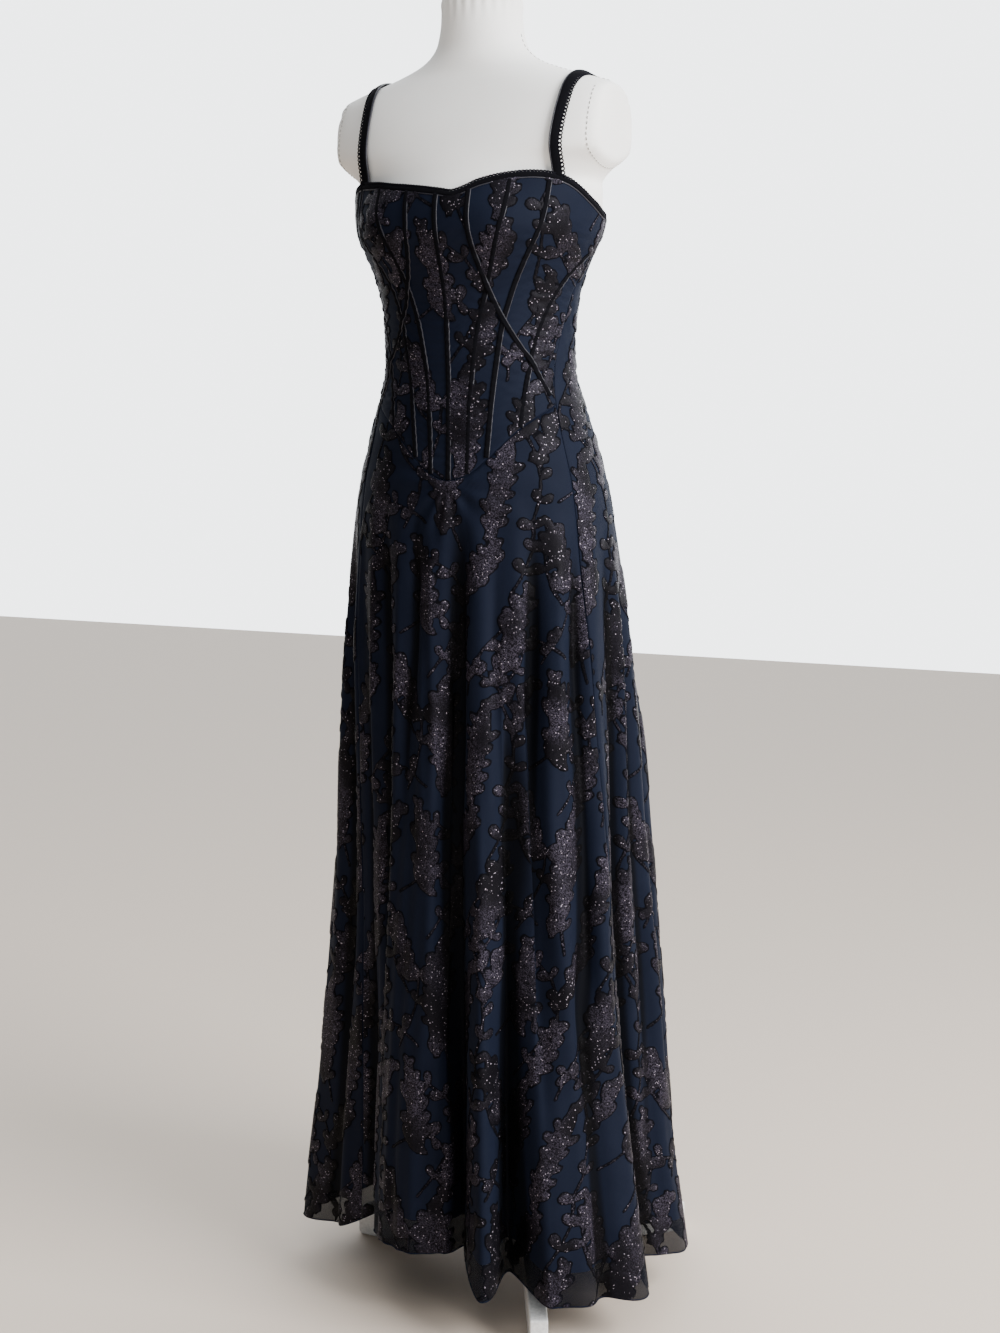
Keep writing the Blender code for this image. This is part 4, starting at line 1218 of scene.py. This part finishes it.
small_loop = thread_loop(.0030, .0020, .00105)
strap_loop = thread_loop(.0036, .0036, .00082)
sway = .0003 * np.sin(np.arange(len(top_deg)) * 1.7)
path = skin(top_deg, top_z + .0001, .0010 + sway, creased=False)
lean = way_out(top_deg, top_z) * .25 + np.array([0, 0, 1.0])
repeat_along("picot_loops", path, lean, .0041, small_loop, picot_thread, "velvet", "picot_edge")

# %% [markdown]
# ## Shoulder straps
#
# A strap is a roll of velvet with a satin inner edge and the same picot loops along its outer
# side. It leaves the edge of the bodice, crosses the shoulder of the form and meets the back.

# %%
def form_point(deg, z, out=0.0):
    r, q = section_radius(deg, z, FORM), np.radians(deg)
    x = (r + out) * np.sin(q)
    past = np.maximum(np.abs(x) - (ARM_PLATE - ARM_PLATE_EDGE), 0)
    x = np.sign(x) * np.where(past > 0, ARM_PLATE - ARM_PLATE_EDGE * np.exp(-past / ARM_PLATE_EDGE), np.abs(x))
    return np.stack([x, -(r + out) * np.cos(q), z + 0 * r], -1)


def strap_path(side, front, top_x, back, steps=120):
    # Both ends are sewn in behind the binding
    z_front, z_back = top_height(front + 2.7, 1.26) - .0020, top_height(back + 3.4, 1.22) - .0020
    first = skin(front + 2.7, z_front, -.0012, creased=False)
    last = skin(back + 3.4, z_back, -.0012, creased=False)
    heights = np.linspace(1.35, 1.40, 400)
    top_z_ = heights[np.argmin(np.abs(through(heights, FORM[:, 0], FORM[:, 1]) - abs(top_x)))]
    points = []
    for start, sign in ((first, -1), (last, 1)):
        t = np.linspace(0, 1, 120)
        z = start[2] + (top_z_ - start[2]) * np.sin(t * np.pi / 2)
        x = start[0] + (top_x - start[0]) * t
        a = np.maximum(through(z, FORM[:, 0], FORM[:, 1]), abs(top_x) + 1e-4)
        depth = through(z, FORM[:, 0], FORM[:, 2 if sign < 0 else 3])
        y = sign * depth * np.sqrt(np.clip(1 - (x / a) ** 2, 0, 1))
        y = y + (start[1] - y[0]) * (1 - t) ** 3
        points.append(np.stack([x, y, z], -1))
    line = np.concatenate([points[0], points[1][::-1][1:]])
    for _ in range(30):
        line[1:-1] = (line[:-2] + 2 * line[1:-1] + line[2:]) / 4
    length = np.concatenate([[0], np.cumsum(np.linalg.norm(np.diff(line, axis=0), axis=1))])
    even = np.linspace(0, length[-1], steps + 1)
    line = np.stack([np.interp(even, length, line[:, k]) for k in range(3)], -1)
    tangent = np.gradient(line, axis=0)
    tangent /= np.linalg.norm(tangent, axis=-1)[:, None]
    out = line - np.array([side * .085, 0, 1.290])
    out -= tangent * (out * tangent).sum(-1)[:, None]
    out /= np.linalg.norm(out, axis=-1)[:, None]
    return line, np.cross(tangent, out), out, length[-1]


for word, (side, front, top_x, back) in STRAPS.items():
    line, across, out, long_ = strap_path(side, front, top_x, back)
    line = line + out * (.0014 * np.sin(np.linspace(0, np.pi, len(line))) ** .5)[:, None]
    outward = across * np.sign((across[len(line) // 2] * [side, 0, 0]).sum())
    half = STRAP_WIDTH / 2
    roll = [(half * math.cos(q) * .98, .0013 + .0014 * math.sin(q)) for q in np.linspace(0, 2 * math.pi, 14, endpoint=False)]
    strap = sweep(f"velvet_strap_{word}", line, outward, out, roll)
    seat(strap, velvet, "velvet", f"strap_{word}")
    edge = [(-half - .0004, .0002), (-half - .0004, .0016), (-half + .0009, .0021), (-half + .0009, .0002)]
    seat(sweep(f"satin_strap_{word}", line, outward, out, edge), satin, "velvet")
    repeat_along(f"picot_strap_{word}", line + outward * (half - .0004) + out * .0014, outward, .0043,
                 strap_loop, picot_thread, "velvet", f"strap_picot_{word}")
    print(f"strap {word}: {long_:.3f} m")

# %% [markdown]
# ## Dress form
#
# The form is a foam body in a tight jersey cover with no arms, legs or head. Its armholes are
# shut by flat plates. The cover is gathered at the top of the neck, and small stitches show
# round the arm plates and along the shoulders.

# %%
FORM_COLUMNS, FORM_ROWS = 120, 160
z = np.interp(np.linspace(0, 1, FORM_ROWS), np.linspace(0, 1, len(FORM)), FORM[:, 0])
deg = np.arange(FORM_COLUMNS) * 360 / FORM_COLUMNS
gather = .0007 * np.sin(np.radians(deg) * 24)[None] * step(1.440, 1.468, z)[:, None] * (1 - step(1.4735, 1.4745, z))[:, None]
points = form_point(deg[None], z[:, None], gather)
cover = mesh_from("jersey_cover", points.reshape(-1, 3), quads(FORM_ROWS, FORM_COLUMNS, closed=True))
shut = bmesh.new()
shut.from_mesh(cover.data)
shut.verts.ensure_lookup_table()
shut.faces.new([shut.verts[k] for k in range(FORM_COLUMNS)])
shut.faces.new([shut.verts[(FORM_ROWS - 1) * FORM_COLUMNS + k] for k in range(FORM_COLUMNS)])
bmesh.ops.recalc_face_normals(shut, faces=shut.faces)
shut.to_mesh(cover.data)
shut.free()
seat(cover, jersey, "jersey", "form_body")
print("form", len(cover.data.polygons), "faces")

# %% [markdown]
# Stitches of white thread show round each arm plate and along each shoulder, in a grey that is
# painted shade. One short stitch is the pattern, and the same Geometry Nodes group sets it along
# the lines.

# %%
def capsule(name, long_, thick, sides=6):
    """A short rounded stitch along its own X."""
    rows = ((-.5, .35), (-.42, .8), (-.2, 1), (.2, 1), (.42, .8), (.5, .35))
    points = [(x * long_, r * thick * math.cos(2 * math.pi * k / sides), r * thick * math.sin(2 * math.pi * k / sides))
              for x, r in rows for k in range(sides)]
    faces = [(i * sides + k, (i + 1) * sides + k, (i + 1) * sides + (k + 1) % sides, i * sides + (k + 1) % sides)
             for i in range(len(rows) - 1) for k in range(sides)]
    faces = [face[::-1] for face in faces]
    faces += [tuple(range(sides))[::-1], tuple((len(rows) - 1) * sides + k for k in range(sides))]
    return one_shape(name, points, faces)


form_stitch = capsule("one form stitch", .0034, .00060)
plate_z = np.concatenate([np.linspace(1.276, 1.364, 120), np.linspace(1.364, 1.276, 120)])
for word, sign in (("left", 1), ("right", -1)):
    # The angles at which the body meets the flat plate, in front and behind
    fine = np.linspace(20, 160, 1400)
    line = []
    for k, height in enumerate(plate_z):
        wide = np.sin(np.radians(fine)) * section_radius(fine, height, FORM)
        hit = np.flatnonzero(wide > ARM_PLATE - ARM_PLATE_EDGE - .004)
        if len(hit):
            line.append(form_point(sign * fine[hit[0] if k < 120 else hit[-1]], height, .0003))
    line = np.array(line + line[:1])
    away = np.tile((sign * 1.0, 0.0, 0.0), (len(line), 1))
    repeat_along(f"arm_plate_stitches_{word}", line, away, .0058, form_stitch, stitch_thread_painted_shade, "jersey")
    z = np.interp(np.linspace(0, 1, 160), np.linspace(0, 1, 5), (1.364, 1.374, 1.387, 1.399, 1.428))
    line = form_point(np.full(160, sign * 90.0), z, .0003)
    line = line[np.abs(line[:, 0]) < ARM_PLATE - .008]
    away = np.tile((sign * .3, 0.0, 1.0), (len(line), 1))
    repeat_along(f"shoulder_stitches_{word}", line, away, .0058, form_stitch, stitch_thread_painted_shade, "jersey")

# %% [markdown]
# ## Zip at the centre back
#
# One row of small teeth lies on a narrow tape, from below the slide to the hip. The teeth are
# copies of one, and the tape is a flat strip let into the seam.

# %%
zip_low, zip_high = .905, float(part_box("zip_slide")[0].z) - .0008
z = np.linspace(zip_low, zip_high, 240)
back = np.full(len(z), 180.0)
teeth_path = skin(back, z, COVER + .0005)
teeth_out = way_out(back, z)
tooth = capsule("one zip tooth", .0021, .00050)
for vertex in tooth.data.vertices:
    vertex.co = (vertex.co.y, vertex.co.x, vertex.co.z)
tooth.data.flip_normals()
repeat_along("zip_teeth", teeth_path, teeth_out, .0014, tooth, zip_metal, "zip_metal")
sides = [skin(180 + np.degrees(w / cloth_radius(back, z)), z, COVER + h) for w, h in
         ((-.0052, .00005), (-.0052, .00030), (0, .00035), (.0052, .00030), (.0052, .00005))]
rings = np.stack(sides, 1)
tape = mesh_from("zip_tapes", rings.reshape(-1, 3), quads(len(z), 5, closed=True))
shut = bmesh.new()
shut.from_mesh(tape.data)
shut.verts.ensure_lookup_table()
shut.faces.new([shut.verts[k] for k in range(5)])
shut.faces.new([shut.verts[(len(z) - 1) * 5 + k] for k in range(5)])
bmesh.ops.recalc_face_normals(shut, faces=shut.faces)
shut.to_mesh(tape.data)
shut.free()
seat(tape, zip_tape, "zip_metal")
print("zip from", round(zip_low, 3), "to", round(zip_high, 3))

# %% [markdown]
# The stand keeps its CAD solids and only takes a painted finish. The zip's slide and pull keep
# theirs too, in dark enamelled metal.

# %%
for name in ("pole", "hub", "leg_1", "leg_2", "leg_3"):
    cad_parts[name].data.materials.clear()
    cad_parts[name].data.materials.append(white_paint)
for name in ("zip_slide", "zip_pull"):
    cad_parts[name].data.materials.clear()
    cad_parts[name].data.materials.append(zip_metal)

# %% [markdown]
# ## Floor, light and camera
#
# Soft daylight from the front and the viewer's right, on a plain pale floor. The camera stands
# where the picture was taken from: a little above the waist, turned by 28 degrees.

# %%
CAMERA_TURN, CAMERA_FAR, CAMERA_HIGH, CAMERA_DIP = 28.0, 2.37, 1.0119, 6.90

floor_mesh = bpy.data.meshes.new("pale floor")
floor_mesh.from_pydata([(-6, -6, 0), (6, -6, 0), (6, 6, 0), (-6, 6, 0)], [], [(0, 1, 2, 3)])
floor = bpy.data.objects.new("pale_floor", floor_mesh)
bpy.context.scene.collection.objects.link(floor)
floor_mesh.materials.append(new_material("pale floor", (.56, .47, .39), .7)[0])

world = bpy.data.worlds.new("pale room")
bpy.context.scene.world = world
world.use_nodes = True
sky_nodes, sky_links = world.node_tree.nodes, world.node_tree.links
background = sky_nodes["Background"]
background.inputs["Color"].default_value = (.92, .95, .97, 1)
# The wall behind the form is bright, and the side away from the window is in shade
around = sky_nodes.new("ShaderNodeTexCoord")
shade = node(sky_nodes, "ShaderNodeVectorMath", operation="DOT_PRODUCT")
sky_links.new(around.outputs["Generated"], shade.inputs[0])
shade.inputs[1].default_value = (-.883, -.469, .05)
behind = node(sky_nodes, "ShaderNodeVectorMath", operation="DOT_PRODUCT")
sky_links.new(around.outputs["Generated"], behind.inputs[0])
behind.inputs[1].default_value = (-.469, .883, 0)
strength = node(sky_nodes, "ShaderNodeMath", operation="MULTIPLY")
sky_links.new(ramp(sky_nodes, sky_links, shade.outputs["Value"], .22, .80, 1.0, .08), strength.inputs[0])
sky_links.new(ramp(sky_nodes, sky_links, behind.outputs["Value"], .1, .75, .65, 4.2), strength.inputs[1])
sky_links.new(strength.outputs[0], background.inputs["Strength"])


def soft_light(name, azimuth, elevation, far, size, power, color=(1, 1, 1)):
    data = bpy.data.lights.new(name, "AREA")
    data.shape, data.size, data.energy, data.color = "SQUARE", size, power, color
    obj = bpy.data.objects.new(name, data)
    a, e = math.radians(azimuth), math.radians(elevation)
    target = np.array([AXIS[0], AXIS[1], .80])
    back = np.array([math.sin(a) * math.cos(e), -math.cos(a) * math.cos(e), math.sin(e)])
    obj.location = target + back * far
    obj.rotation_mode = "QUATERNION"
    obj.rotation_quaternion = Vector(-back).to_track_quat("-Z", "Y")
    bpy.context.scene.collection.objects.link(obj)
    return obj


soft_light("window", 82, 26, 3.0, 1.8, 235)
soft_light("room", 26, 46, 3.6, 2.4, 34)

camera_data = bpy.data.cameras.new("camera")
camera_data.sensor_fit, camera_data.sensor_height = "VERTICAL", 36
camera_data.lens = 55.904
camera_data.shift_x = .0135
camera = bpy.data.objects.new("camera", camera_data)
a = math.radians(CAMERA_TURN)
camera.location = (AXIS[0] + CAMERA_FAR * math.sin(a), AXIS[1] - CAMERA_FAR * math.cos(a), CAMERA_HIGH)
camera.rotation_euler = (math.radians(90 - CAMERA_DIP), 0, a)
bpy.context.scene.collection.objects.link(camera)
bpy.context.scene.camera = camera
